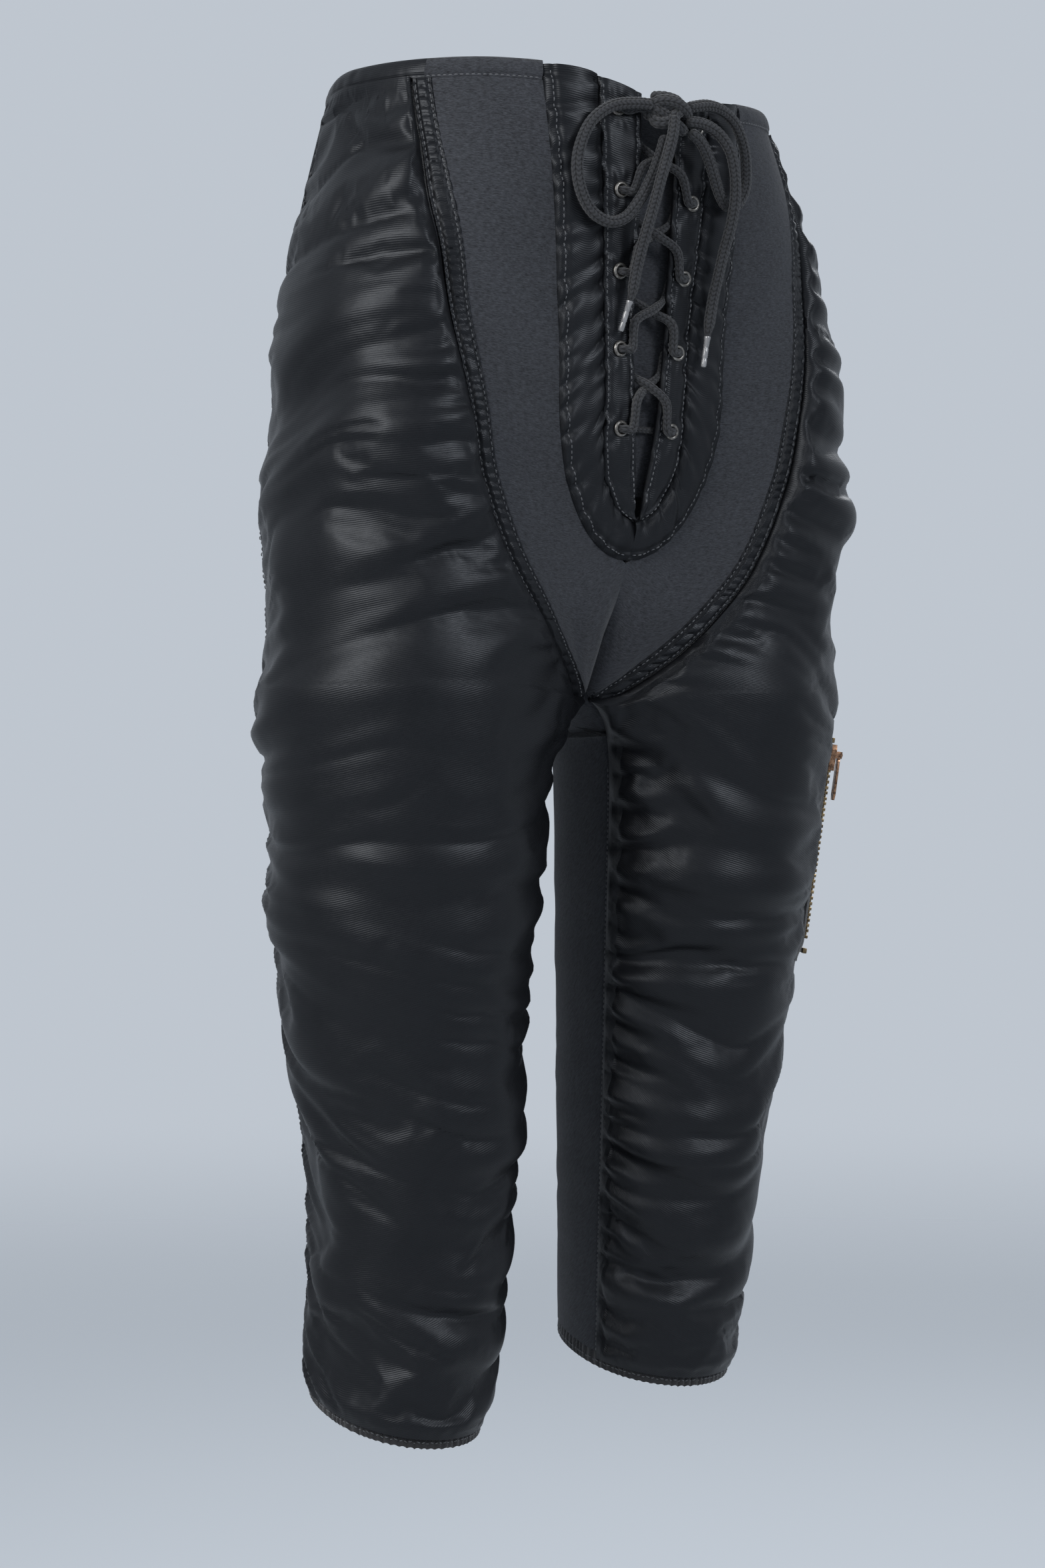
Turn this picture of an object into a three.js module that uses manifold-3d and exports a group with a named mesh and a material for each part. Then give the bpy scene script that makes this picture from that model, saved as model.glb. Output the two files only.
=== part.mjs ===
// Padded impact shorts with a lace-up fly, in millimetres.
// The origin is the centre of the waist opening at its top edge. +Z is up, the front faces -Y
// and the wearer's left is +X, so everything hangs below z = 0.

import * as THREE from "three";
import { mergeVertices } from "three/addons/utils/BufferGeometryUtils.js";
import Module from "manifold-3d";

const wasm = await Module();
wasm.setup();

const RIGHT = -1; // the wearer's right half of the shorts
const LEFT = 1;
const HALVES = [
  ["right", RIGHT],
  ["left", LEFT],
];

// ---- Driving dimensions ------------------------------------------------------------------

const RISE = 330; // waist edge to crotch
const INSEAM = 400; // crotch to the hem of the right leg
const LEFT_RIDE_UP = 18; // the left leg is worn this much higher
const WAIST_HALF_WIDTH = 122;
const HIP_HALF_WIDTH = 158;
const LEG_STANCE = { [RIGHT]: 22, [LEFT]: 32 }; // how far each hem stands back of the waist

const FELT = 2.4; // stretch felt of yokes and back panels
const LINING = 2;
const WADDING_SWELL = 8; // most that the wadding adds over its edge thickness
const WADDING_EDGE = 1;
const SHELL = 0.9; // nylon with its backing
const SEAM_BAND_WIDTH = 10;
const SEAM_BAND = 3.6;
const SEAM_EASE = 0.9; // from the band to the edge of the pad
const BINDING_HEIGHT = 12;
const BINDING = 4.2;
const HEM_BAND_HEIGHT = 24; // gathered elastic inside each hem
const HEM_BAND = 1.2;
const HEM_PEEP = 4; // how far it shows below the pad

const FLY_BELOW_PLACKET = 22; // from the bottom of the plackets to the bottom of the U
const FLY_TOP_HALF_WIDTH = 65;
const FLY_LOW_HALF_WIDTH = 55;
const PLACKET_BELOW_EYELETS = 48; // from the last eyelets to the bottom of the plackets
const PLACKET_TOP_HALF_WIDTH = 36;
const PLACKET_LOW_HALF_WIDTH = 27;
const PLACKET = 2.6;
const LACE_ROOM = 2.6; // under the plackets at their outer seam, on top of the lace's thickness
const SLIT_LIFT = 2.4; // how much higher they stand along the slit
const SLIT_HALF_WIDTH = 11;
const TONGUE = 0.9;
const TONGUE_HALF_WIDTH = 20;

const EYELET_ROWS = 5;
const EYELET_TOP_DROP = 17;
const EYELET_PITCH = 42;
const EYELET_TOP_ACROSS = 26;
const EYELET_STEP_IN = 2.2; // each row sits this much nearer the slit
const EYELET_HOLE_RADIUS = 2.5;
const EYELET_WALL = 0.35;
const EYELET_FLANGE = 1.7; // flange width past the barrel
const EYELET_METAL = 0.7;
const EYELET_EASE = 0.8; // flange and washer stand this far off the puffed cloth
const LACE_RUN_RADIUS = 1.2; // the lace squeezed through an eyelet
const LACE_CROSSING = 3.6; // between the two runs' centre lines where they cross
const LACE_RADIUS = 3;
const AGLET_RADIUS = 1.7;
const AGLET_LENGTH = 17;

const ZIP_ANGLE = 57; // degrees round the left thigh from straight ahead
const ZIP_BELOW_CROTCH = 22; // to the top of the chain
const ZIP_LENGTH = 118;
const ZIP_PITCH = 3.2;
const ZIP_TOOTH = 1.3;
const ZIP_TAPE_WIDTH = 11;
const ZIP_TAPE = 0.9;
const ZIP_CHAIN = 2; // thickness of the teeth
const SLIDER_LENGTH = 15;
const PULL_LENGTH = 26;

const GAP = 0.4; // between pieces that lie together

// Places that follow from those: drops are from the waist edge.
const PLACKET_DROP = EYELET_TOP_DROP + EYELET_PITCH * (EYELET_ROWS - 1) + PLACKET_BELOW_EYELETS;
const FLY_DROP = PLACKET_DROP + FLY_BELOW_PLACKET; // to the bottom of the U
const FLY_STAND = 2 * LACE_RUN_RADIUS + LACE_ROOM; // underside of the plackets above the body
const ZIP_TOP_DROP = RISE + ZIP_BELOW_CROTCH;

// ---- Colours -----------------------------------------------------------------------------

const finish = (color, roughness, metalness = 0) =>
  new THREE.MeshStandardMaterial({ color, roughness, metalness });
const nylon = () => finish(0x2b2d33, 0.4);
const felt = () => finish(0x3a3c42, 0.95);
const fleece = () => finish(0x202126, 1);
const wadding = () => finish(0xd8d8d4, 1);
const elastic = () => finish(0x1c1d20, 0.9);
const cord = () => finish(0x25262a, 0.85);
const nickel = () => finish(0x8d8a84, 0.35, 1);
const brass = () => finish(0x8a7448, 0.4, 1);
const clearTip = () => finish(0xb8b8b4, 0.2);

// ---- The body form that the shorts are cut to --------------------------------------------

// Torso sections, as shares of the rise, and leg sections, as shares of the inseam.
const TORSO = {
  share: [0, 0.18, 0.35, 0.58, 0.77, 1],
  growth: [0, 0.42, 0.75, 0.86, 1, 1.14], // from waist width to hip width
  front: [94, 92, 86, 81, 68, 58],
  back: [93, 97, 100, 107, 111, 108],
  squareness: [2.2, 2.9, 3.7, 6, 6, 5],
};
const LEG = {
  share: [0, 0.25, 0.525, 0.775, 1],
  halfWidth: [70, 64.5, 56, 49.5, 46],
  setIn: [60, 64, 67, 68, 66], // centre line to the hip's width
};
const LEG_DEPTH = 1.06; // a leg's depth over its width
const CAP_START = 215 / 330; // share of the rise where the torso starts to close
const BLEND = 14; // softness of the groin
const BACK_ROUNDNESS = 2.1;

const clamp = (value, low, high) => Math.min(high, Math.max(low, value));
const mix = (a, b, share) => a + (b - a) * share;
const smooth = (share) => {
  const s = clamp(share, 0, 1);
  return s * s * (3 - 2 * s);
};

// A smooth curve through a table's stations, flat past its ends.
function at(table, key, share) {
  const xs = table.share;
  const ys = table[key];
  const s = clamp(share, xs[0], xs[xs.length - 1]);
  let i = 0;
  while (i < xs.length - 2 && s > xs[i + 1]) i += 1;
  const slope = (k) => {
    const a = Math.max(k - 1, 0);
    const b = Math.min(k + 1, xs.length - 1);
    return (ys[b] - ys[a]) / (xs[b] - xs[a]);
  };
  const step = xs[i + 1] - xs[i];
  const t = (s - xs[i]) / step;
  const rest = 1 - t;
  return (
    ys[i] * rest * rest * (1 + 2 * t) +
    ys[i + 1] * t * t * (3 - 2 * t) +
    slope(i) * step * t * rest * rest -
    slope(i + 1) * step * t * t * rest
  );
}

const torsoHalfWidth = (z) =>
  mix(WAIST_HALF_WIDTH, HIP_HALF_WIDTH, at(TORSO, "growth", -z / RISE));
const legShare = (z) => (-z - RISE) / INSEAM;

// Axis and half width of a leg at a height. Above the crotch it leans in and narrows.
function leg(side, z) {
  const share = legShare(z);
  const above = Math.max(-share * INSEAM, 0);
  return {
    x: side * (HIP_HALF_WIDTH - at(LEG, "setIn", share) - above * 0.1),
    y: LEG_STANCE[side] * clamp(share, 0, 1.1) ** 1.3,
    halfWidth: at(LEG, "halfWidth", share) - above * 0.12,
  };
}

const ringRadius = (x, y, power) =>
  (Math.abs(x) ** power + Math.abs(y) ** power) ** (1 / power);

// Below zero inside the body, above zero outside.
function bodyField(x, y, z) {
  const share = clamp(-z / RISE, 0, 1);
  const cap = Math.max((-z / RISE - CAP_START) / (1.015 - CAP_START), 0);
  const front = at(TORSO, "front", share);
  const back = at(TORSO, "back", share);
  const depth = (front + back) / 2;
  const behind = y - ((back - front) / 2) * Math.max(1 - cap, 0);
  const squareness = at(TORSO, "squareness", share);
  const power = mix(squareness, BACK_ROUNDNESS, smooth((behind + 40) / 80));
  const ring = ringRadius(x / torsoHalfWidth(z), behind / depth, power);
  const fields = [(Math.hypot(ring, cap) - 1) * depth];
  for (const [, side] of HALVES) {
    const { x: cx, y: cy, halfWidth } = leg(side, z);
    const across = (x - cx) / halfWidth;
    const along = (y - cy) / (halfWidth * LEG_DEPTH);
    fields.push((ringRadius(across, along, 2.1) - 1) * halfWidth);
  }
  const least = Math.min(...fields);
  const sum = fields.reduce((t, f) => t + Math.exp((least - f) / BLEND), 0);
  return least - BLEND * Math.log(sum);
}

// The distance along a ray from a point inside to where it first leaves the body.
function reach(from, direction) {
  const inside = (distance) => {
    const p = from.clone().addScaledVector(direction, distance);
    return bodyField(p.x, p.y, p.z) < 0;
  };
  const stride = 8;
  let low = 0;
  while (inside(low + stride)) low += stride;
  let high = low + stride;
  for (let i = 0; i < 22; i += 1) {
    const middle = (low + high) / 2;
    if (inside(middle)) low = middle;
    else high = middle;
  }
  return (low + high) / 2;
}

// Angles are measured round a half's own axis: 0 is ahead, 90 out to the side, 180 behind.
function axisPoint(side, z) {
  const { x, y } = leg(side, Math.min(z, -RISE));
  const lean = smooth(-z / RISE);
  return new THREE.Vector3(x * lean, y * lean, z);
}

function onBody(side, degrees, z, lift = 0) {
  const angle = THREE.MathUtils.degToRad(degrees);
  const ray = new THREE.Vector3(side * Math.sin(angle), -Math.cos(angle), 0);
  const centre = axisPoint(side, z);
  const point = centre.addScaledVector(ray, reach(centre, ray));
  return point.addScaledVector(normalAt(point), lift);
}

function normalAt({ x, y, z }) {
  const h = 0.5;
  const value = bodyField(x, y, z);
  return new THREE.Vector3(
    bodyField(x + h, y, z) - value,
    bodyField(x, y + h, z) - value,
    bodyField(x, y, z + h) - value,
  ).normalize();
}

// The point straight ahead (or behind) at a distance across from the centre plane.
function acrossPoint(x, z, lift = 0, ahead = -1) {
  const cap = Math.max((-z / RISE - CAP_START) / (1.015 - CAP_START), 0);
  const share = clamp(-z / RISE, 0, 1);
  const set = (at(TORSO, "back", share) - at(TORSO, "front", share)) / 2;
  const from = new THREE.Vector3(x, set * Math.max(1 - cap, 0), z);
  const ray = new THREE.Vector3(0, ahead, 0);
  const point = from.addScaledVector(ray, reach(from, ray));
  return point.addScaledVector(normalAt(point), lift);
}

function angleOf(side, point) {
  const centre = axisPoint(side, point.z);
  const angle = Math.atan2(side * (point.x - centre.x), centre.y - point.y);
  return THREE.MathUtils.radToDeg(angle);
}

const frontAngle = (side, across, z) =>
  angleOf(side, acrossPoint(side * across, z));
const backAngle = (side, across, z) => {
  const angle = angleOf(side, acrossPoint(side * across, z, 0, 1));
  return angle < 0 ? angle + 360 : angle;
};

// ---- Panels cut to the form ---------------------------------------------------------------

// A closed panel between two surfaces of the form. rows are heights, edges gives the first and
// last angle of a row, and inner and outer give the lift at a share across a row.
function panel(side, rows, edges, columns, inner, outer) {
  const sheets = [outer, inner].map((lift) =>
    rows.map((z) => {
      const [first, last] = edges(z);
      return Array.from({ length: columns + 1 }, (_, j) => {
        const share = j / columns;
        return onBody(side, mix(first, last, share), z, lift(share, z));
      });
    }),
  );
  return closedGrid(sheets, side);
}

// Two grids of points, the outer one first, joined round their rims into one closed body.
function closedGrid([outer, inner], side) {
  const rows = outer.length;
  const columns = outer[0].length;
  const positions = [outer, inner].flat(2).flatMap((p) => [p.x, p.y, p.z]);
  const index = [];
  const quad = (a, b, c, d) => {
    if (side > 0) index.push(a, b, c, a, c, d);
    else index.push(c, b, a, d, c, a);
  };
  const id = (sheet, i, j) => (sheet * rows + i) * columns + j;
  for (let i = 0; i < rows - 1; i += 1) {
    for (let j = 0; j < columns - 1; j += 1) {
      quad(id(0, i, j), id(0, i + 1, j), id(0, i + 1, j + 1), id(0, i, j + 1));
      quad(id(1, i, j), id(1, i, j + 1), id(1, i + 1, j + 1), id(1, i + 1, j));
    }
    const last = columns - 1;
    quad(id(0, i + 1, 0), id(0, i, 0), id(1, i, 0), id(1, i + 1, 0));
    quad(id(0, i, last), id(0, i + 1, last), id(1, i + 1, last), id(1, i, last));
  }
  for (let j = 0; j < columns - 1; j += 1) {
    const end = rows - 1;
    quad(id(0, 0, j), id(0, 0, j + 1), id(1, 0, j + 1), id(1, 0, j));
    quad(id(0, end, j + 1), id(0, end, j), id(1, end, j), id(1, end, j + 1));
  }
  return new THREE.BufferGeometry()
    .setAttribute("position", new THREE.Float32BufferAttribute(positions, 3))
    .setIndex(index);
}

const level = (lift) => () => lift;
const spread = (from, to, steps) =>
  Array.from({ length: steps + 1 }, (_, i) => mix(from, to, i / steps));
const hemHeight = (side) =>
  -(RISE + INSEAM) + (side === LEFT ? LEFT_RIDE_UP : 0);

// Where the panels meet, as angles at a height.
const SEAM = {
  share: [0, 0.04, 0.19, 0.3, 0.41, 0.54, 0.64, 0.77, 0.855, 0.92, 0.99],
  across: [0.91, 0.92, 0.855, 0.785, 0.747, 0.686, 0.63, 0.494, 0.354, 0.228, 0.055],
}; // front seam of a pad, as a share of the half width
const SEAM_END = 0.99; // share of the rise where the two front seams meet
const SIDE_SEAM = {
  share: [0, 0.1, 0.2, 0.35, 0.5, 0.75, 1],
  angle: [101, 108, 122, 134, 140, 138, 126],
}; // back edge of a pad, down the whole length
const INSIDE_ANGLE = -70; // a pad's edge down the inside of the leg

function seamAcross(z) {
  return at(SEAM, "across", -z / RISE) * torsoHalfWidth(z);
}

// Half of a strip's level width where the seam runs at a slant.
function slantHalf(width, z) {
  const slope = (seamAcross(z + 2) - seamAcross(z - 2)) / 4;
  return (width / 2) * Math.hypot(1, slope);
}

const degreesOf = (length, side, degrees, z) => {
  const centre = axisPoint(side, z);
  const radius = onBody(side, degrees, z).distanceTo(centre);
  return THREE.MathUtils.radToDeg(length / radius);
};

function seamAngles(side, z, half) {
  const across = seamAcross(z);
  const aside = slantHalf(2 * half, z);
  const widest = slantHalf(SEAM_BAND_WIDTH + 2 * SEAM_EASE, z);
  if (across + widest < 0.93 * torsoHalfWidth(z))
    return [
      frontAngle(side, Math.max(across - aside, GAP), z),
      frontAngle(side, across + aside, z),
    ];
  const middle = frontAngle(side, across, z);
  const turn = degreesOf(half, side, middle, z);
  return [middle - turn, middle + turn];
}

function sideAngle(side, z) {
  return at(SIDE_SEAM, "angle", z / hemHeight(side));
}

const crotchHeight = (() => {
  let low = -1.2 * RISE;
  let high = -0.8 * RISE;
  for (let i = 0; i < 30; i += 1) {
    const middle = (low + high) / 2;
    if (bodyField(0, 0, middle) < 0) high = middle;
    else low = middle;
  }
  return high;
})();
const seamEnd = -SEAM_END * RISE;

function padEdges(side) {
  return (z) => {
    const back = sideAngle(side, z);
    const ease = degreesOf(GAP, side, back, z);
    const half = SEAM_BAND_WIDTH / 2 + SEAM_EASE;
    if (z < seamEnd) return [INSIDE_ANGLE, back - ease];
    return [Math.max(seamAngles(side, z, half)[1], INSIDE_ANGLE), back - ease];
  };
}

const BACK_TOP = -BINDING_HEIGHT - GAP;
const FLY_ROUND = 90; // height of the round end of the fly's U
const PLACKET_ROUND = 48;
const yokeTip = -0.965 * RISE;
const roundRows = (drop, round) =>
  [0.3, 0.6, 0.82, 0.95].map((s) => -(drop - round * (1 - s)));

// Heights shared by the pieces that meet round the fly, closer where its outlines curve.
const flyRows = [
  ...spread(BACK_TOP, -(FLY_DROP - FLY_ROUND), 4),
  (FLY_ROUND + PLACKET_ROUND - FLY_DROP - PLACKET_DROP) / 2 - 6,
  ...roundRows(PLACKET_DROP, PLACKET_ROUND),
  ...roundRows(FLY_DROP, FLY_ROUND).slice(2),
];
const yokeRows = [...flyRows, ...spread(-FLY_DROP - 1, yokeTip, 3)];
const padRows = (side) => [
  ...spread(BACK_TOP, -(FLY_DROP - FLY_ROUND), 4),
  ...roundRows(FLY_DROP, FLY_ROUND),
  ...spread(-FLY_DROP - 1, yokeTip, 3),
  seamEnd,
  ...spread(seamEnd - 16, hemHeight(side) + HEM_BAND_HEIGHT - HEM_PEEP, 5),
  hemHeight(side),
];

// How full the wadding is: thin along every edge, at the waist, at the hem and under the zip.
function fullness(side, share, z) {
  const edge = smooth(Math.min(share, 1 - share) / 0.16);
  const top = mix(0.3, 1, clamp(-z / 90, 0, 1));
  const low = mix(0.25, 1, smooth((z - hemHeight(side)) / 110));
  const [first, last] = padEdges(side)(z);
  const away = Math.abs(mix(first, last, share) - ZIP_ANGLE) / 16;
  const middle = -ZIP_TOP_DROP - ZIP_LENGTH / 2;
  const past = clamp((Math.abs(z - middle) - ZIP_LENGTH / 2 - 20) / 30, 0, 1);
  const dip = side === LEFT ? 0.45 * Math.exp(-away * away) * (1 - past) : 0;
  return edge * top * low * (1 - dip);
}

const liningTop = GAP + LINING;
const waddingUnder = liningTop + GAP;
const waddingTop = (side) => (share, z) =>
  waddingUnder + WADDING_EDGE + WADDING_SWELL * fullness(side, share, z);

function pad(side) {
  const rows = padRows(side);
  const edges = padEdges(side);
  const columns = 10;
  const top = waddingTop(side);
  const under = (share, z) => top(share, z) + GAP;
  const over = (share, z) => under(share, z) + SHELL;
  return {
    shell: panel(side, rows, edges, columns, under, over),
    wadding: panel(side, rows, edges, columns, level(waddingUnder), top),
    lining: panel(side, rows.slice(0, -1), edges, columns, level(GAP), level(liningTop)),
  };
}

// The U of the fly and of its plackets: straight sides that taper, then half an ellipse.
function uHalfWidth(z, top, low, drop, round) {
  const start = drop - round;
  if (-z < start) return mix(top, low, smooth(-z / start));
  return low * Math.sqrt(Math.max(1 - ((-z - start) / round) ** 2, 0));
}
const flyHalf = (z) =>
  uHalfWidth(z, FLY_TOP_HALF_WIDTH, FLY_LOW_HALF_WIDTH, FLY_DROP, FLY_ROUND);
const placketHalf = (z) =>
  uHalfWidth(z, PLACKET_TOP_HALF_WIDTH, PLACKET_LOW_HALF_WIDTH, PLACKET_DROP, PLACKET_ROUND);

function yoke(side) {
  const edges = (z) => {
    const inner = Math.max(flyHalf(z), GAP) + GAP;
    const seam = seamAngles(side, z, SEAM_BAND_WIDTH / 2 + GAP)[0];
    return [frontAngle(side, inner, z), seam];
  };
  return panel(side, yokeRows, edges, 5, level(GAP), level(GAP + FELT));
}

function seamBand(side) {
  const rows = yokeRows;
  const edges = (z) => seamAngles(side, z, SEAM_BAND_WIDTH / 2);
  return panel(side, rows, edges, 2, level(GAP), level(GAP + SEAM_BAND));
}

function backPanel(side) {
  const shared = padRows(side).slice(0, -1);
  const rows = [
    ...shared.filter((z) => z > crotchHeight + 12),
    crotchHeight + 8,
    crotchHeight - 10,
    ...shared.filter((z) => z < crotchHeight - 14),
  ];
  const edges = (z) => {
    const first = sideAngle(side, z);
    const ease = degreesOf(GAP, side, first, z);
    if (z > crotchHeight) return [first + ease, backAngle(side, GAP, z)];
    const inside = 360 + INSIDE_ANGLE;
    return [first + ease, inside - degreesOf(2 * GAP, side, inside, z)];
  };
  return panel(side, rows, edges, 10, level(GAP), level(GAP + FELT));
}

function hemBand(side) {
  const hem = hemHeight(side);
  const top = hem + HEM_BAND_HEIGHT - HEM_PEEP - GAP;
  const columns = 24;
  const ring = (z, lift) =>
    spread(0, 360 - 360 / columns, columns - 1).map((a) => onBody(side, a, z, lift));
  const rows = [
    ring(top, GAP + HEM_BAND),
    ring(hem - HEM_PEEP, GAP + HEM_BAND),
    ring(hem - HEM_PEEP, GAP),
    ring(top, GAP),
  ];
  const index = [];
  rows.forEach((_, i) => {
    for (let j = 0; j < columns; j += 1) {
      const [a, b] = [i * columns + j, i * columns + ((j + 1) % columns)];
      const down = ((i + 1) % rows.length) * columns - i * columns;
      const faces = [a, a + down, b + down, a, b + down, b];
      index.push(...(side > 0 ? faces : faces.reverse()));
    }
  });
  const positions = rows.flat().flatMap((p) => [p.x, p.y, p.z]);
  return new THREE.BufferGeometry()
    .setAttribute("position", new THREE.Float32BufferAttribute(positions, 3))
    .setIndex(index);
}

// The rolled edge round the waist, in three lengths on each side of the fly.
function binding(side, part) {
  const top = -GAP / 2;
  const turn = degreesOf(GAP, side, 60, top);
  const seam = frontAngle(side, seamAcross(top), top);
  const joint = sideAngle(side, top);
  const spans = {
    yoke: [frontAngle(side, flyHalf(top) + 2 * GAP, top), seam - turn],
    pad: [seam + turn, joint - turn],
    back: [joint + turn, backAngle(side, GAP, top)],
  };
  const roll = (share, z) =>
    GAP + BINDING * Math.sqrt(Math.max(1 - (2 * (-z / BINDING_HEIGHT) - 1) ** 2, 0.2));
  const rows = spread(0, -BINDING_HEIGHT, 3);
  return panel(side, rows, () => spans[part], part === "back" ? 7 : 5, level(GAP), roll);
}

// ---- The lace-up fly -----------------------------------------------------------------------

const slitHalf = (z) => SLIT_HALF_WIDTH * (1 - smooth((-z - 120) / 150));
const placketShare = (across, z) =>
  clamp((across - slitHalf(z)) / (placketHalf(z) - slitHalf(z)), 0, 1);
const placketUnder = (across, z) =>
  FLY_STAND + SLIT_LIFT * (1 - placketShare(across, z));
const placketOver = (across, z) => placketUnder(across, z) + PLACKET;

// A closed panel of the front laid out across from the centre plane.
function frontPanel(side, rows, edges, columns, inner, outer) {
  const sheets = [outer, inner].map((lift) =>
    rows.map((z) => {
      const [first, last] = edges(z);
      return spread(first, last, columns).map((x) =>
        acrossPoint(side * x, z, lift(x, z)),
      );
    }),
  );
  return closedGrid(sheets, side);
}

const FLY_TOP = -3;

function flyBand(side) {
  const rows = [FLY_TOP, ...flyRows, -FLY_DROP];
  const inner = (z) => Math.max(placketHalf(z), 0) + GAP;
  const edges = (z) => [inner(z), Math.max(flyHalf(z), inner(z) + 1.5)];
  const puff = (x, z) => {
    const [first, last] = edges(z);
    const arch = Math.sin(Math.PI * clamp((x - first) / (last - first), 0, 1));
    return mix(FLY_STAND, FELT, (x - first) / (last - first)) + 1.4 + 2 * arch;
  };
  return frontPanel(side, rows, edges, 3, level(GAP), puff);
}

// An eyelet's seat on a placket: its place, the way it faces, and the depth it goes through.
function eyeletSeat(side, row) {
  const across = EYELET_TOP_ACROSS - EYELET_STEP_IN * row;
  const z = -(EYELET_TOP_DROP + EYELET_PITCH * row);
  const face = acrossPoint(side * across, z, placketOver(across, z));
  const under = acrossPoint(side * across, z, placketUnder(across, z));
  return { across, z, face, under, out: face.clone().sub(under).normalize() };
}

function placket(side) {
  const rows = [
    ...spread(FLY_TOP - 1, -(PLACKET_DROP - PLACKET_ROUND), 6),
    ...roundRows(PLACKET_DROP, PLACKET_ROUND),
  ];
  const edges = (z) => {
    const inner = Math.max(slitHalf(z), GAP);
    return [inner, Math.max(placketHalf(z) - 2 * GAP, inner + 2)];
  };
  const body = solid(frontPanel(side, rows, edges, 3, placketUnder, placketOver));
  let cut = body;
  for (let row = 0; row < EYELET_ROWS; row += 1) {
    const { face, out } = eyeletSeat(side, row);
    const radius = EYELET_HOLE_RADIUS + EYELET_WALL + GAP;
    const drill = new THREE.CylinderGeometry(radius, radius, 4 * PLACKET, 8);
    drill.applyQuaternion(turnTo(out));
    drill.translate(face.x, face.y, face.z);
    cut = cut.subtract(solid(drill));
  }
  return geometryOf(cut);
}

function tongue() {
  const rows = spread(FLY_TOP, -(PLACKET_DROP - 12), 10);
  const half = (z) => Math.min(TONGUE_HALF_WIDTH, placketHalf(z) - 2);
  const sheets = [GAP + TONGUE, GAP].map((lift) =>
    rows.map((z) => spread(-half(z), half(z), 4).map((x) => acrossPoint(x, z, lift))),
  );
  return closedGrid(sheets, 1);
}

// A grommet: a barrel through the placket, a rounded flange in front, a washer behind.
function eyelet(side, row) {
  const { face, under, out } = eyeletSeat(side, row);
  const bore = EYELET_HOLE_RADIUS;
  const barrel = bore + EYELET_WALL;
  const rim = barrel + EYELET_FLANGE;
  const back = -face.distanceTo(under) - EYELET_EASE;
  const profile = [
    [bore, back - EYELET_METAL],
    [rim, back - EYELET_METAL],
    [rim, back],
    [barrel, back],
    [barrel, EYELET_EASE],
    [rim, EYELET_EASE],
    [bore + 0.3, EYELET_EASE + EYELET_METAL],
    [bore, back - EYELET_METAL],
  ].map(([r, h]) => new THREE.Vector2(r, h));
  const ring = new THREE.LatheGeometry(profile, 10);
  ring.applyQuaternion(turnTo(out));
  ring.translate(face.x, face.y, face.z);
  return ring;
}

// ---- The lace ------------------------------------------------------------------------------

// A round tube through points, with even steps or else with one ring at each point.
function tube(points, radius, evenSteps) {
  const path = new THREE.CatmullRomCurve3(points, false, "centripetal");
  if (!evenSteps) path.getUtoTmapping = (share) => share;
  const section = new THREE.Shape(
    spread(0, 315, 7).map((degrees) => {
      const angle = THREE.MathUtils.degToRad(degrees);
      return new THREE.Vector2(radius * Math.cos(angle), radius * Math.sin(angle));
    }),
  );
  return new THREE.ExtrudeGeometry(section, {
    steps: evenSteps ?? points.length - 1,
    extrudePath: path,
    bevelEnabled: false,
  });
}

const KNOT = { across: 0, drop: 12, lift: 17, half: [11, 6, 8] };

// One of the two runs that cross between the eyelets, from the bar at the bottom to the knot.
// It comes up through an eyelet, over the slit and under the far placket, row after row.
function laceRun(start, lift) {
  const clear = LACE_RUN_RADIUS + 1.5 * GAP;
  const washer = EYELET_EASE + EYELET_METAL;
  const last = eyeletSeat(start, EYELET_ROWS - 1);
  const points = [];
  if (start === LEFT) {
    for (const across of [last.across - 6, 0]) {
      const barLift = placketUnder(across, last.z) - washer - clear;
      points.push(acrossPoint(-across, last.z, barLift));
    }
  }
  let side = start;
  for (let row = EYELET_ROWS - 1; row >= 0; row -= 1) {
    const { across, z, face, under, out } = eyeletSeat(side, row);
    const inward = acrossPoint(0, z).sub(acrossPoint(side * across, z)).normalize();
    const through = (height, aside) =>
      face.clone().addScaledVector(out, height).addScaledVector(inward, aside);
    const back = -face.distanceTo(under) - washer;
    points.push(through(back - clear, 4.6), through(back - clear + 0.4, 1.3));
    points.push(through(back, 0), through(washer - 0.2, 0));
    points.push(through(washer + clear - 0.4, 1.3), through(washer + clear, 4.6));
    if (row === 0) break;
    const next = eyeletSeat(-side, row - 1);
    const near = mix(z, next.z, 0.36);
    const middle = mix(z, next.z, 0.54);
    const far = mix(z, next.z, 0.72);
    const edge = slitHalf(near);
    points.push(acrossPoint(side * (edge + 1.5), near, placketOver(edge, near) + clear + GAP));
    points.push(acrossPoint(0, middle, placketUnder(0, middle) + PLACKET / 2 + lift));
    points.push(acrossPoint(-side * (slitHalf(far) + 1), far, placketUnder(0, far) - clear - GAP));
    side = -side;
  }
  const reachAcross = KNOT.half[0] - GAP; // below the knot's widest, where it is narrower
  const rise = KNOT.lift - 3.5;
  points.push(acrossPoint(side * mix(reachAcross, EYELET_TOP_ACROSS, 0.4), -14, rise));
  points.push(acrossPoint(side * reachAcross, -KNOT.drop, rise));
  return tube(points, LACE_RUN_RADIUS);
}

function knot() {
  const body = new THREE.SphereGeometry(1, 12, 8);
  body.scale(...KNOT.half);
  const { x, y, z } = acrossPoint(KNOT.across, -KNOT.drop, KNOT.lift);
  return body.translate(x, y, z);
}

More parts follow.
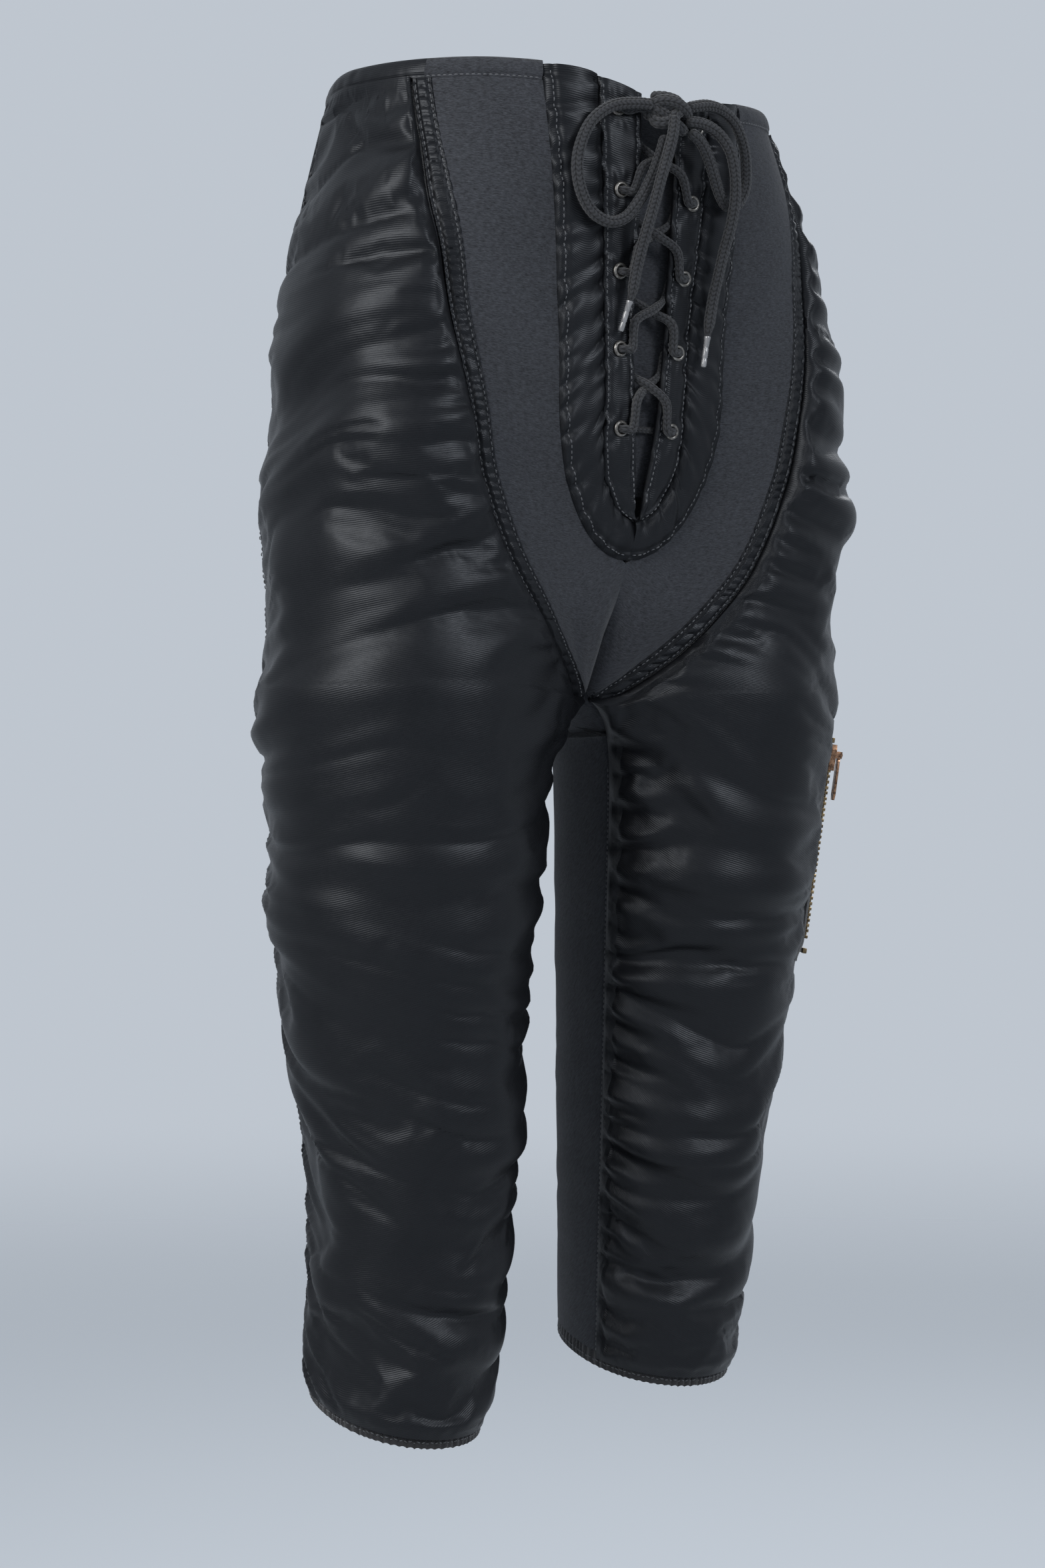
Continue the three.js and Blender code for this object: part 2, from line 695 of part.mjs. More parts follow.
// The bow's free lengths: [across, drop, stand-off from the body form] at each point.
const BOW = {
  lace_loop_right: [
    [-11.4, 11, 19], [-21, 14, 18], [-33, 20, 16], [-44, 30, 15], [-51, 42, 15], [-54, 54, 15],
    [-52, 66, 15], [-45, 75, 15], [-35, 78, 16], [-26, 74, 17], [-19, 64, 19], [-13, 52, 20],
    [-8, 38, 21], [-5, 26, 22],
  ],
  lace_loop_left: [
    [10.4, 8, 20], [24, 6, 19], [36, 9, 18], [46, 16, 17], [53, 27, 16], [56, 40, 15],
    [55, 51, 15], [50, 59, 15], [42, 60, 16], [35, 54, 18], [29, 44, 20], [23, 34, 22],
    [16, 26, 24], [9, 22, 25],
  ],
  lace_tail_right: [
    [-2, 15, 26], [-5, 26, 28.6], [-9, 40, 29], [-12, 52, 28], [-14, 64, 26], [-16, 76, 24],
    [-17, 88, 21], [-18, 100, 19], [-19, 112, 18], [-20, 118, 17],
  ],
  lace_tail_left: [
    [8, 16, 23], [18, 17, 24], [27, 22, 25], [34, 31, 26], [38, 43, 26], [40, 56, 25],
    [40, 70, 23], [39, 84, 20], [38, 98, 18], [37, 112, 16], [36, 126, 15], [35, 134, 15],
  ],
};
const bowPoints = (name) =>
  BOW[name].map(([across, drop, lift]) => acrossPoint(across, -drop, lift));

function aglet(tail) {
  const points = bowPoints(tail);
  const end = points[points.length - 1];
  const way = end.clone().sub(points[points.length - 2]).normalize();
  const r = AGLET_RADIUS;
  const profile = [
    [0, 0],
    [r, 0],
    [r, AGLET_LENGTH - 1],
    [r - 0.6, AGLET_LENGTH],
    [0, AGLET_LENGTH],
  ].map(([radius, height]) => new THREE.Vector2(radius, height));
  const tip = new THREE.LatheGeometry(profile, 10);
  tip.applyQuaternion(turnTo(way));
  const start = end.addScaledVector(way, GAP);
  return tip.translate(start.x, start.y, start.z);
}

// ---- The thigh zip -------------------------------------------------------------------------

// In the zip's own frame x runs across it, y up it and z out of the leg. Its origin is the
// middle of the chain's top end, on the underside of the tapes.
const zipBed = waddingUnder + WADDING_EDGE + WADDING_SWELL * 0.55 + 2 * GAP + SHELL + 0.6;

function zipFrame() {
  const top = onBody(LEFT, ZIP_ANGLE, -ZIP_TOP_DROP, zipBed);
  const low = onBody(LEFT, ZIP_ANGLE, -ZIP_TOP_DROP - ZIP_LENGTH, zipBed);
  const up = top.clone().sub(low).normalize();
  const middle = onBody(LEFT, ZIP_ANGLE, -ZIP_TOP_DROP - ZIP_LENGTH / 2);
  const out = normalAt(middle);
  out.addScaledVector(up, -out.dot(up)).normalize();
  const across = up.clone().cross(out);
  const frame = new THREE.Group();
  frame.matrix.makeBasis(across, up, out).setPosition(top);
  frame.matrix.decompose(frame.position, frame.quaternion, frame.scale);
  return frame;
}

const RAIL_NEAR = 3; // where a row's rail starts, across from the middle
const RAIL_FAR = 4.4;
const TOOTH_TIP = -1.4; // how far a tooth reaches past the middle
const chainBase = ZIP_TAPE + 0.3;
const chainTop = chainBase + ZIP_CHAIN;

// One row: a rail with a tooth at every pitch, flat in the plane of the zip.
function zipTeeth(side) {
  const shape = new THREE.Shape();
  const shift = side > 0 ? 0 : ZIP_PITCH / 2;
  shape.moveTo(side * RAIL_FAR, 0);
  shape.lineTo(side * RAIL_NEAR, 0);
  const count = Math.floor((ZIP_LENGTH - ZIP_PITCH) / ZIP_PITCH);
  for (let i = 0; i < count; i += 1) {
    const y = -(shift + 0.6 + i * ZIP_PITCH);
    shape.lineTo(side * RAIL_NEAR, y);
    shape.lineTo(side * TOOTH_TIP, y);
    shape.lineTo(side * TOOTH_TIP, y - ZIP_TOOTH);
    shape.lineTo(side * RAIL_NEAR, y - ZIP_TOOTH);
  }
  shape.lineTo(side * RAIL_NEAR, -ZIP_LENGTH);
  shape.lineTo(side * RAIL_FAR, -ZIP_LENGTH);
  return extrude(shape, chainBase, chainTop);
}

function extrude(shape, from, to) {
  const body = new THREE.ExtrudeGeometry(shape, {
    depth: to - from,
    bevelEnabled: false,
    curveSegments: 6,
  });
  return body.translate(0, 0, from);
}

function box(x0, x1, y0, y1, z0, z1) {
  const body = new THREE.BoxGeometry(x1 - x0, y1 - y0, z1 - z0);
  return body.translate((x0 + x1) / 2, (y0 + y1) / 2, (z0 + z1) / 2);
}

const ZIP_END = 8; // tape past the chain at each end
const STOP_HEIGHT = 3;
const railSide = RAIL_FAR + GAP;

function zipTape(side) {
  const [near, far] = [side * 1.7, side * (1.7 + ZIP_TAPE_WIDTH)];
  const shape = new THREE.Shape([
    new THREE.Vector2(near, ZIP_END),
    new THREE.Vector2(near, -ZIP_LENGTH - ZIP_END),
    new THREE.Vector2(far - side * 2, -ZIP_LENGTH - ZIP_END),
    new THREE.Vector2(far, -ZIP_LENGTH - ZIP_END + 2),
    new THREE.Vector2(far, ZIP_END - 2),
    new THREE.Vector2(far - side * 2, ZIP_END),
  ]);
  return extrude(shape, 0, ZIP_TAPE);
}

const zipTopStop = (side) => {
  const [a, b] = [side * 1.2, side * RAIL_FAR].sort((p, q) => p - q);
  return box(a, b, GAP, GAP + STOP_HEIGHT, chainBase, chainTop);
};
const zipBottomStop = () => {
  const end = -ZIP_LENGTH - GAP;
  return box(-RAIL_FAR, RAIL_FAR, end - STOP_HEIGHT, end, chainBase, chainTop + 0.6);
};

const sliderRest = -GAP - SLIDER_LENGTH; // its lower end, with its top end at the chain's top
const coverTop = chainTop + GAP + 1.2;
const EAR_THICKNESS = 1.2;
const PIN_RADIUS = 0.8;
const EYE_RADIUS = 2.1;
const pinHeight = coverTop + EYE_RADIUS + GAP;
const pinPlace = sliderRest + 0.62 * SLIDER_LENGTH;

// A cover over the chain with a flange down each side, two ears and the pin for the pull.
function slider() {
  const half = railSide + 1.2;
  const shape = new THREE.Shape([
    new THREE.Vector2(-half + 1, sliderRest),
    new THREE.Vector2(half - 1, sliderRest),
    new THREE.Vector2(half - 0.4, sliderRest + 5),
    new THREE.Vector2(half + 0.6, sliderRest + SLIDER_LENGTH - 3),
    new THREE.Vector2(half - 0.8, sliderRest + SLIDER_LENGTH),
    new THREE.Vector2(-half + 0.8, sliderRest + SLIDER_LENGTH),
    new THREE.Vector2(-half - 0.6, sliderRest + SLIDER_LENGTH - 3),
    new THREE.Vector2(-half + 0.4, sliderRest + 5),
  ]);
  const cover = solid(extrude(shape, ZIP_TAPE + GAP, coverTop));
  const ends = [sliderRest - 1, sliderRest + SLIDER_LENGTH + 1];
  const channel = solid(box(-railSide, railSide, ...ends, 0, chainTop + GAP));
  let body = cover.subtract(channel);
  for (const side of [-1, 1]) {
    const inner = side * 2.2;
    const outer = side * (2.2 + EAR_THICKNESS);
    const [a, b] = [inner, outer].sort((p, q) => p - q);
    const ear = box(a, b, pinPlace - 2, pinPlace + 2, coverTop - 0.5, pinHeight + 1.4);
    body = body.add(solid(ear));
  }
  const pin = new THREE.CylinderGeometry(PIN_RADIUS, PIN_RADIUS, 5, 10);
  pin.rotateZ(Math.PI / 2).translate(0, pinPlace, pinHeight);
  return geometryOf(body.add(solid(pin)));
}

// The pull: an eye round the pin and a flat tab that hangs from it.
function zipPull() {
  const width = 3.6;
  const eye = new THREE.CylinderGeometry(EYE_RADIUS, EYE_RADIUS, width, 12);
  eye.rotateZ(Math.PI / 2).translate(0, pinPlace, pinHeight);
  const low = pinPlace - PULL_LENGTH;
  const tab = new THREE.Shape([
    new THREE.Vector2(-1.8, pinPlace - 1),
    new THREE.Vector2(-3.2, pinPlace - 6),
    new THREE.Vector2(-3.6, low + 3),
    new THREE.Vector2(-2, low),
    new THREE.Vector2(2, low),
    new THREE.Vector2(3.6, low + 3),
    new THREE.Vector2(3.2, pinPlace - 6),
    new THREE.Vector2(1.8, pinPlace - 1),
  ]);
  const hole = new THREE.Path().absarc(0, low + 5, 1.4, 0, 2 * Math.PI, true);
  tab.holes.push(hole);
  const plate = solid(extrude(tab, pinHeight - 0.7, pinHeight + 0.7));
  const bore = PIN_RADIUS + 0.35;
  const room = new THREE.CylinderGeometry(bore, bore, width + 2, 10);
  room.rotateZ(Math.PI / 2).translate(0, pinPlace, pinHeight);
  return geometryOf(solid(eye).add(plate).subtract(solid(room)));
}

// ---- Booleans ------------------------------------------------------------------------------

function solid(geometry) {
  const bare = geometry.clone();
  for (const name of Object.keys(bare.attributes))
    if (name !== "position") bare.deleteAttribute(name);
  const merged = mergeVertices(bare, 1e-4);
  return new wasm.Manifold(
    new wasm.Mesh({
      numProp: 3,
      vertProperties: new Float32Array(merged.attributes.position.array),
      triVerts: new Uint32Array(merged.index.array),
    }),
  );
}

function geometryOf(manifold) {
  const { vertProperties, triVerts, numProp } = manifold.getMesh();
  const positions = [];
  for (let i = 0; i < vertProperties.length; i += numProp)
    positions.push(...vertProperties.subarray(i, i + 3));
  return new THREE.BufferGeometry()
    .setAttribute("position", new THREE.Float32BufferAttribute(positions, 3))
    .setIndex([...triVerts]);
}

const turnTo = (direction) =>
  new THREE.Quaternion().setFromUnitVectors(new THREE.Vector3(0, 1, 0), direction);

// ---- Assembly ------------------------------------------------------------------------------

const shorts = new THREE.Group();

function add(name, geometry, material, parent = shorts) {
  const mesh = new THREE.Mesh(geometry, material);
  mesh.geometry.computeVertexNormals();
  mesh.name = name;
  parent.add(mesh);
}

for (const [word, side] of HALVES) {
  const { shell, wadding: core, lining } = pad(side);
  add(`thigh_pad_shell_${word}`, shell, nylon());
  add(`thigh_pad_wadding_${word}`, core, wadding());
  add(`thigh_pad_lining_${word}`, lining, fleece());
  add(`front_yoke_${word}`, yoke(side), felt());
  add(`back_panel_${word}`, backPanel(side), felt());
  add(`seam_band_${word}`, seamBand(side), nylon());
  add(`hem_elastic_${word}`, hemBand(side), elastic());
  add(`waist_binding_yoke_${word}`, binding(side, "yoke"), felt());
  add(`waist_binding_pad_${word}`, binding(side, "pad"), nylon());
  add(`waist_binding_back_${word}`, binding(side, "back"), felt());
  add(`fly_band_${word}`, flyBand(side), nylon());
  add(`placket_${word}`, placket(side), nylon());
  for (let row = 0; row < EYELET_ROWS; row += 1)
    add(`eyelet_${word}_${row + 1}`, eyelet(side, row), nickel());
  add(`lace_run_${word}`, laceRun(side, side * LACE_CROSSING / 2), cord());
  for (const part of ["loop", "tail"]) {
    const name = `lace_${part}_${word}`;
    add(name, tube(bowPoints(name), LACE_RADIUS, 20), cord());
  }
  add(`aglet_${word}`, aglet(`lace_tail_${word}`), clearTip());
}
add("tongue", tongue(), felt());
add("lace_knot", knot(), cord());

const zip = zipFrame();
shorts.add(zip);
for (const [word, side] of [
  ["front", -1],
  ["back", 1],
]) {
  add(`zip_tape_${word}`, zipTape(side), elastic(), zip);
  add(`zip_teeth_${word}`, zipTeeth(side), brass(), zip);
  add(`zip_top_stop_${word}`, zipTopStop(side), brass(), zip);
}
add("zip_bottom_stop", zipBottomStop(), brass(), zip);
add("zip_slider", slider(), brass(), zip);
add("zip_pull", zipPull(), brass(), zip);

export default shorts;
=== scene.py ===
# %% [markdown]
# # Padded impact shorts
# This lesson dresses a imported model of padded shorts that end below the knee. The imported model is
# the frame: it says where every panel, eyelet and zip part is. Each step says what a piece is on
# the real garment, how it could be made, and why it is made the way it is.

# %% Load the frame
import math

import bmesh
import bpy
import numpy as np
from mathutils import Matrix, Vector


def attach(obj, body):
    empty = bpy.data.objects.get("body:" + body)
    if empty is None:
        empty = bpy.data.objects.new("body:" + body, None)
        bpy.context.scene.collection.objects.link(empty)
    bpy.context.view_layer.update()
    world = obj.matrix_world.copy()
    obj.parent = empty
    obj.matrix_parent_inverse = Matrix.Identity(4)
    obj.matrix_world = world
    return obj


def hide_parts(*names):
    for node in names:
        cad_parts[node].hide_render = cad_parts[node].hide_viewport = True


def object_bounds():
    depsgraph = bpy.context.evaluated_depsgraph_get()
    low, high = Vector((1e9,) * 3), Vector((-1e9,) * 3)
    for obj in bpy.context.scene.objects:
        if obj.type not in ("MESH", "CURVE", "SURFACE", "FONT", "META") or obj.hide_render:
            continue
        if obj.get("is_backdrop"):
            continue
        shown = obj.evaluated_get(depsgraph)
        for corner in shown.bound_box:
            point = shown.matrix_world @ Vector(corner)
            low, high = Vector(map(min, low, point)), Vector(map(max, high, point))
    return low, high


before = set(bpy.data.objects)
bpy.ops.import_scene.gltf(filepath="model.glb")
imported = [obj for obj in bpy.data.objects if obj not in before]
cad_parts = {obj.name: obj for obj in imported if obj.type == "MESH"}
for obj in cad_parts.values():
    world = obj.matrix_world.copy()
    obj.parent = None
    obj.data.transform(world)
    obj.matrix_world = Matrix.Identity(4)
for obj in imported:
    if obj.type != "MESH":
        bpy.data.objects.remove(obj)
cad_box = [list(corner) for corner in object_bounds()]
MM = 0.001
RIGHT, LEFT = -1, 1
SIDES = {"right": RIGHT, "left": LEFT}

# %% [markdown]
# ## Camera, floor and light
# A long lens stands at hip height on the wearer's right front, level with the thighs. The garment
# is shown as worn, so the floor lies a lower leg's length under the hems. One broad light from the
# upper left draws the satin's highlights, and a weak one fills the other side.

# %% Camera
CAMERA_AZIMUTH = math.radians(-35.5)
CAMERA_DISTANCE = 2.255
CAMERA_HEIGHT = -0.377

lens = bpy.data.cameras.new("camera")
lens.lens = 92.7
lens.shift_x = -0.0162
lens.clip_end = 100
camera = bpy.data.objects.new("camera", lens)
bpy.context.scene.collection.objects.link(camera)
camera.location = (
    math.sin(CAMERA_AZIMUTH) * CAMERA_DISTANCE,
    -math.cos(CAMERA_AZIMUTH) * CAMERA_DISTANCE,
    CAMERA_HEIGHT,
)
camera.rotation_euler = (math.pi / 2, 0, CAMERA_AZIMUTH)
bpy.context.scene.camera = camera

# %% Shader values as Python expressions
class Value:
    """A shader socket that takes part in arithmetic: each sign adds one Math node."""

    def __init__(self, finish, socket):
        self.finish = finish
        self.socket = socket

    def math(self, operation, *others):
        return self.finish.node("Math", {"operation": operation}, [self, *others])

    def __add__(self, other):
        return self.math("ADD", other)

    def __mul__(self, other):
        return self.math("MULTIPLY", other)

    def __sub__(self, other):
        return self.math("SUBTRACT", other)

    def __truediv__(self, other):
        return self.math("DIVIDE", other)


class Finish:
    """A material under construction, with one surface shader."""

    def __init__(self, name, **constants):
        self.material = bpy.data.materials.new(name)
        self.material.use_nodes = True
        self.tree = self.material.node_tree
        self.shader = self.tree.nodes["Principled BSDF"]
        for socket, value in constants.items():
            self.shader.inputs[socket.replace("_", " ")].default_value = value

    def node(self, kind, settings=None, values=(), output=0):
        made = self.tree.nodes.new("ShaderNode" + kind)
        for key, value in (settings or {}).items():
            setattr(made, key, value)
        named = values.items() if isinstance(values, dict) else enumerate(values)
        for key, value in named:
            if isinstance(value, Value):
                self.tree.links.new(value.socket, made.inputs[key])
            elif value is not None:
                made.inputs[key].default_value = value
        return Value(self, made.outputs[output])

    def cloth_uv(self):
        """The piece's own cloth coordinates, and how far across and along the cut, in metres."""
        uv = self.node("UVMap", {"uv_map": "cloth"})
        parts = self.node("SeparateXYZ", None, [uv]).socket.node.outputs
        return uv, Value(self, parts[0]), Value(self, parts[1])

    def object_place(self):
        return self.node("TexCoord", None, [], output=3)

    def noise(self, vector, scale, detail=3.0, roughness=0.6):
        settings = {"noise_dimensions": "3D"}
        values = {"Vector": vector, "Scale": scale, "Detail": detail, "Roughness": roughness}
        return self.node("TexNoise", settings, values)

    def stretched(self, vector, scale):
        return self.node("Mapping", {"vector_type": "POINT"}, {"Vector": vector, "Scale": scale})

    def blend(self, factor, first, second):
        return self.node(
            "Mix", {"data_type": "RGBA"}, {0: factor, 6: (*first, 1), 7: (*second, 1)}, output=2
        )

    def bump(self, height, distance, strength=1.0):
        values = {"Height": height, "Distance": distance, "Strength": strength}
        self.link(self.node("Bump", None, values), "Normal")

    def link(self, value, socket):
        self.tree.links.new(value.socket, self.shader.inputs[socket])


# %% Floor and light
FOOT_LEVEL = -1.13
FADE_START, FADE_END = 1.4, 7.0  # the floor melts into the backdrop between these distances
BACKDROP, PAPER = (0.52, 0.565, 0.625, 1), (0.55, 0.575, 0.6, 1)

scene = bpy.context.scene
scene.view_settings.view_transform = "Standard"
world = bpy.data.worlds.new("studio")
world.use_nodes = True
backdrop, strength, *_ = world.node_tree.nodes["Background"].inputs
backdrop.default_value = BACKDROP
strength.default_value = 1.0
scene.world = world

bpy.ops.object.select_all(action="DESELECT")
bpy.ops.mesh.primitive_circle_add(
    vertices=96, radius=9, fill_type="NGON", location=(0, 0, FOOT_LEVEL)
)
floor = bpy.context.object
floor.name = "floor"
floor_finish = Finish("floor_paper", Roughness=0.9)
place = floor_finish.object_place()
distance = floor_finish.node("VectorMath", {"operation": "LENGTH"}, [place], output=1)
fade = floor_finish.node(
    "MapRange", {"interpolation_type": "SMOOTHSTEP"},
    {
        "Value": distance, "From Min": FADE_START, "From Max": FADE_END, "To Min": 1.0,
        "To Max": 0.0,
    },
)
floor_finish.shader.inputs["Base Color"].default_value = PAPER
floor_finish.link(fade, "Alpha")
floor.data.materials.append(floor_finish.material)
floor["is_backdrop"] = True


def area_light(name, place, aim, size, power, color):
    data = bpy.data.lights.new(name, "AREA")
    data.size = size
    data.energy = power
    data.color = color
    lamp = bpy.data.objects.new(name, data)
    scene.collection.objects.link(lamp)
    lamp.location = place
    way = Vector(aim) - Vector(place)
    lamp.rotation_euler = way.to_track_quat("-Z", "Y").to_euler()


area_light("key", (-1.9, -0.5, 0.62), (0, 0, -0.25), 1.3, 46, (1.0, 0.99, 0.97))
area_light("fill", (0.5, -2.5, 0.9), (0, 0, -0.4), 0.8, 34, (0.95, 0.97, 1.0))
area_light("rim", (1.9, 1.6, 1.2), (0, 0, -0.3), 1.2, 20, (0.95, 0.97, 1.0))
print("stage ready")

# %% [markdown]
# ## The body form
# Every panel is cut to one body form: a torso that closes at the crotch and two legs, blended
# softly at the groin. It is a field that is negative inside. A ray from inside is marched to where
# it first leaves the field, for a whole grid of rays at a time, so a panel's surface is as fine as
# its grid. The values are those that the garment was designed on, in millimetres.

# %% Driving dimensions
RISE, INSEAM, RIDE_UP = 330, 400, 18
WAIST_HALF, HIP_HALF = 122, 158
STANCE = {RIGHT: 22, LEFT: 32}
GAP = 0.4
FELT, LINING, SHELL = 2.4, 2.0, 0.9
WADDING_EDGE, WADDING_SWELL = 1.0, 8.0
SEAM_WIDTH, SEAM_EASE = 10, 0.9
BINDING_HEIGHT, BINDING = 12, 4.2
HEM_HEIGHT, HEM_BAND, HEM_PEEP = 24, 1.2, 4
FLY_DROP, FLY_TOP_HALF, FLY_LOW_HALF, FLY_ROUND = 255, 65, 55, 90
PLACKET_DROP, PLACKET_TOP_HALF, PLACKET_LOW_HALF, PLACKET_ROUND = 233, 36, 27, 48
PLACKET, FLY_STAND, SLIT_LIFT, SLIT_HALF = 2.6, 5.0, 2.4, 11
ZIP_ANGLE, ZIP_TOP_DROP, ZIP_LENGTH = 57, 352, 118
TORSO_SHARE = [0, 0.18, 0.35, 0.58, 0.77, 1]
TORSO = {
    "growth": [0, 0.42, 0.75, 0.86, 1, 1.14],
    "front": [94, 92, 86, 81, 68, 58],
    "back": [93, 97, 100, 107, 111, 108],
    "squareness": [2.2, 2.9, 3.7, 6, 6, 5],
}
LEG_SHARE = [0, 0.25, 0.525, 0.775, 1]
LEG_HALF = [70, 64.5, 56, 49.5, 46]
LEG_SET_IN = [60, 64, 67, 68, 66]
LEG_DEPTH = 1.06
CAP_START = 215 / 330
CAP_END = 1.015
BLEND = 14
ROUNDNESS = 2.1  # power of the legs' section and of the torso's back: 2 is an ellipse

# %% The form as a field
def mix(first, last, share):
    return first + (last - first) * share


def smooth(share):
    s = np.clip(share, 0, 1)
    return s * s * (3 - 2 * s)


def through(stations, values, share):
    """A smooth curve through stations, flat past its ends."""
    xs, ys = np.array(stations, float), np.array(values, float)
    s = np.clip(share, xs[0], xs[-1])
    i = np.clip(np.searchsorted(xs, s) - 1, 0, len(xs) - 2)
    before, after = np.r_[0, : len(xs) - 1], np.r_[1 : len(xs), len(xs) - 1]
    slope = (ys[after] - ys[before]) / (xs[after] - xs[before])
    step = xs[i + 1] - xs[i]
    t = (s - xs[i]) / step
    rest = 1 - t
    ends = ys[i] * rest**2 * (1 + 2 * t) + ys[i + 1] * t**2 * (3 - 2 * t)
    return ends + step * t * rest * (slope[i] * rest - slope[i + 1] * t)


def torso_half(z):
    return mix(WAIST_HALF, HIP_HALF, through(TORSO_SHARE, TORSO["growth"], -z / RISE))


def leg(side, z):
    share = (-z - RISE) / INSEAM
    above = np.maximum(-share * INSEAM, 0)
    x = side * (HIP_HALF - through(LEG_SHARE, LEG_SET_IN, share) - above * 0.1)
    y = np.where(side > 0, STANCE[LEFT], STANCE[RIGHT]) * np.clip(share, 0, 1.1) ** 1.3
    return x, y, through(LEG_SHARE, LEG_HALF, share) - above * 0.12


def ring(x, y, power):
    return (np.abs(x) ** power + np.abs(y) ** power) ** (1 / power)


def torso_depths(z):
    """How deep the torso is ahead and behind, and how far it has closed towards the crotch."""
    share = np.clip(-z / RISE, 0, 1)
    cap = np.maximum((-z / RISE - CAP_START) / (CAP_END - CAP_START), 0)
    front = through(TORSO_SHARE, TORSO["front"], share)
    back = through(TORSO_SHARE, TORSO["back"], share)
    return share, cap, front, back


def field(p):
    """Below zero inside the body, above zero outside. p ends in x, y, z."""
    x, y, z = p[..., 0], p[..., 1], p[..., 2]
    share, cap, front, back = torso_depths(z)
    depth = (front + back) / 2
    behind = y - (back - front) / 2 * np.maximum(1 - cap, 0)
    squareness = through(TORSO_SHARE, TORSO["squareness"], share)
    power = mix(squareness, ROUNDNESS, smooth((behind + 40) / 80))
    parts = [(np.hypot(ring(x / torso_half(z), behind / depth, power), cap) - 1) * depth]
    for side in (RIGHT, LEFT):
        cx, cy, half = leg(side, z)
        section = ring((x - cx) / half, (y - cy) / (half * LEG_DEPTH), ROUNDNESS)
        parts.append((section - 1) * half)
    least = np.minimum(np.minimum(parts[0], parts[1]), parts[2])
    return least - BLEND * np.log(sum(np.exp((least - part) / BLEND) for part in parts))


def reach(start, ray):
    """How far along each ray the form is first left."""
    stride = 8.0
    low = np.zeros(start.shape[:-1])
    active = np.ones(low.shape, bool)
    for _ in range(40):
        active &= field(start + ray * (low + stride)[..., None]) < 0
        if not active.any():
            break
        low[active] += stride
    high = low + stride
    for _ in range(13):
        middle = (low + high) / 2
        inside = field(start + ray * middle[..., None]) < 0
        low, high = np.where(inside, middle, low), np.where(inside, high, middle)
    return (low + high) / 2


def normal_at(p):
    h = 0.5
    value = field(p)
    normal = np.stack([field(p + h * np.eye(3)[k]) - value for k in range(3)], -1)
    return normal / np.linalg.norm(normal, axis=-1, keepdims=True)


def axis_point(side, z):
    x, y, _ = leg(side, np.minimum(z, -RISE))
    lean = smooth(-z / RISE)
    return np.stack([x * lean, y * lean, z], -1)


def on_body(side, degrees, z, lift=0.0):
    """Points of the form round one half: 0 is ahead, 90 out to the side, 180 behind."""
    degrees, z, lift = np.broadcast_arrays(
        np.asarray(degrees, float), np.asarray(z, float), np.asarray(lift, float)
    )
    angle = np.radians(degrees)
    ray = np.stack([side * np.sin(angle), -np.cos(angle), np.zeros_like(angle)], -1)
    centre = axis_point(side, z)
    point = centre + ray * reach(centre, ray)[..., None]
    return point + normal_at(point) * lift[..., None]


def straight_on(x, z, lift=0.0, ahead=-1):
    """Points of the form straight ahead of (or behind) the centre plane, x across."""
    x, z, lift = np.broadcast_arrays(
        np.asarray(x, float), np.asarray(z, float), np.asarray(lift, float)
    )
    _, cap, front, back = torso_depths(z)
    start = np.stack([x, (back - front) / 2 * np.maximum(1 - cap, 0), z], -1)
    ray = np.zeros_like(start)
    ray[..., 1] = ahead
    point = start + ray * reach(start, ray)[..., None]
    return point + normal_at(point) * lift[..., None]


def angle_of(side, point):
    centre = axis_point(side, point[..., 2])
    across = side * (point[..., 0] - centre[..., 0])
    return np.degrees(np.arctan2(across, centre[..., 1] - point[..., 1]))


def front_angle(side, across, z):
    return angle_of(side, straight_on(side * across, z))


def back_angle(side, across, z):
    return angle_of(side, straight_on(side * across, z, 0, 1)) % 360


# %% Where the panels meet
SEAM_SHARE = [0, 0.04, 0.19, 0.3, 0.41, 0.54, 0.64, 0.77, 0.855, 0.92, 0.99]
SEAM_ACROSS = [0.91, 0.92, 0.855, 0.785, 0.747, 0.686, 0.63, 0.494, 0.354, 0.228, 0.055]
SIDE_SHARE = [0, 0.1, 0.2, 0.35, 0.5, 0.75, 1]
SIDE_ANGLE = [101, 108, 122, 134, 140, 138, 126]
INSIDE_ANGLE = -70
SEAM_END = -0.99 * RISE


def hem_height(side):
    return -(RISE + INSEAM) + (RIDE_UP if side == LEFT else 0)


def seam_across(z):
    return through(SEAM_SHARE, SEAM_ACROSS, -z / RISE) * torso_half(z)


def degrees_of(length, side, degrees, z):
    """The turn that a length makes round one half's own axis."""
    reached = np.linalg.norm(on_body(side, degrees, z) - axis_point(side, z), axis=-1)
    return np.degrees(length / reached)


def seam_angles(side, z, half):
    """Both edges, as angles, of a strip along the front seam."""
    across = seam_across(z)
    slant = np.hypot(1, (seam_across(z + 2) - seam_across(z - 2)) / 4)
    middle = front_angle(side, across, z)
    turn = degrees_of(half, side, middle, z)
    near = front_angle(side, np.maximum(across - half * slant, GAP), z)
    far = front_angle(side, np.minimum(across + half * slant, 0.99 * torso_half(z)), z)
    room = 0.93 * torso_half(z) - across - (SEAM_WIDTH / 2 + SEAM_EASE) * slant
    plain = smooth(room / (0.07 * torso_half(z)))
    return mix(middle - turn, near, plain), mix(middle + turn, far, plain)


def side_angle(side, z):
    return through(SIDE_SHARE, SIDE_ANGLE, z / hem_height(side))


def pad_edges(side, z):
    back = side_angle(side, z)
    first = seam_angles(side, np.maximum(z, SEAM_END), SEAM_WIDTH / 2 + SEAM_EASE)[1]
    first = np.where(z < SEAM_END, INSIDE_ANGLE, np.maximum(first, INSIDE_ANGLE))
    return first, back - degrees_of(GAP, side, back, z)


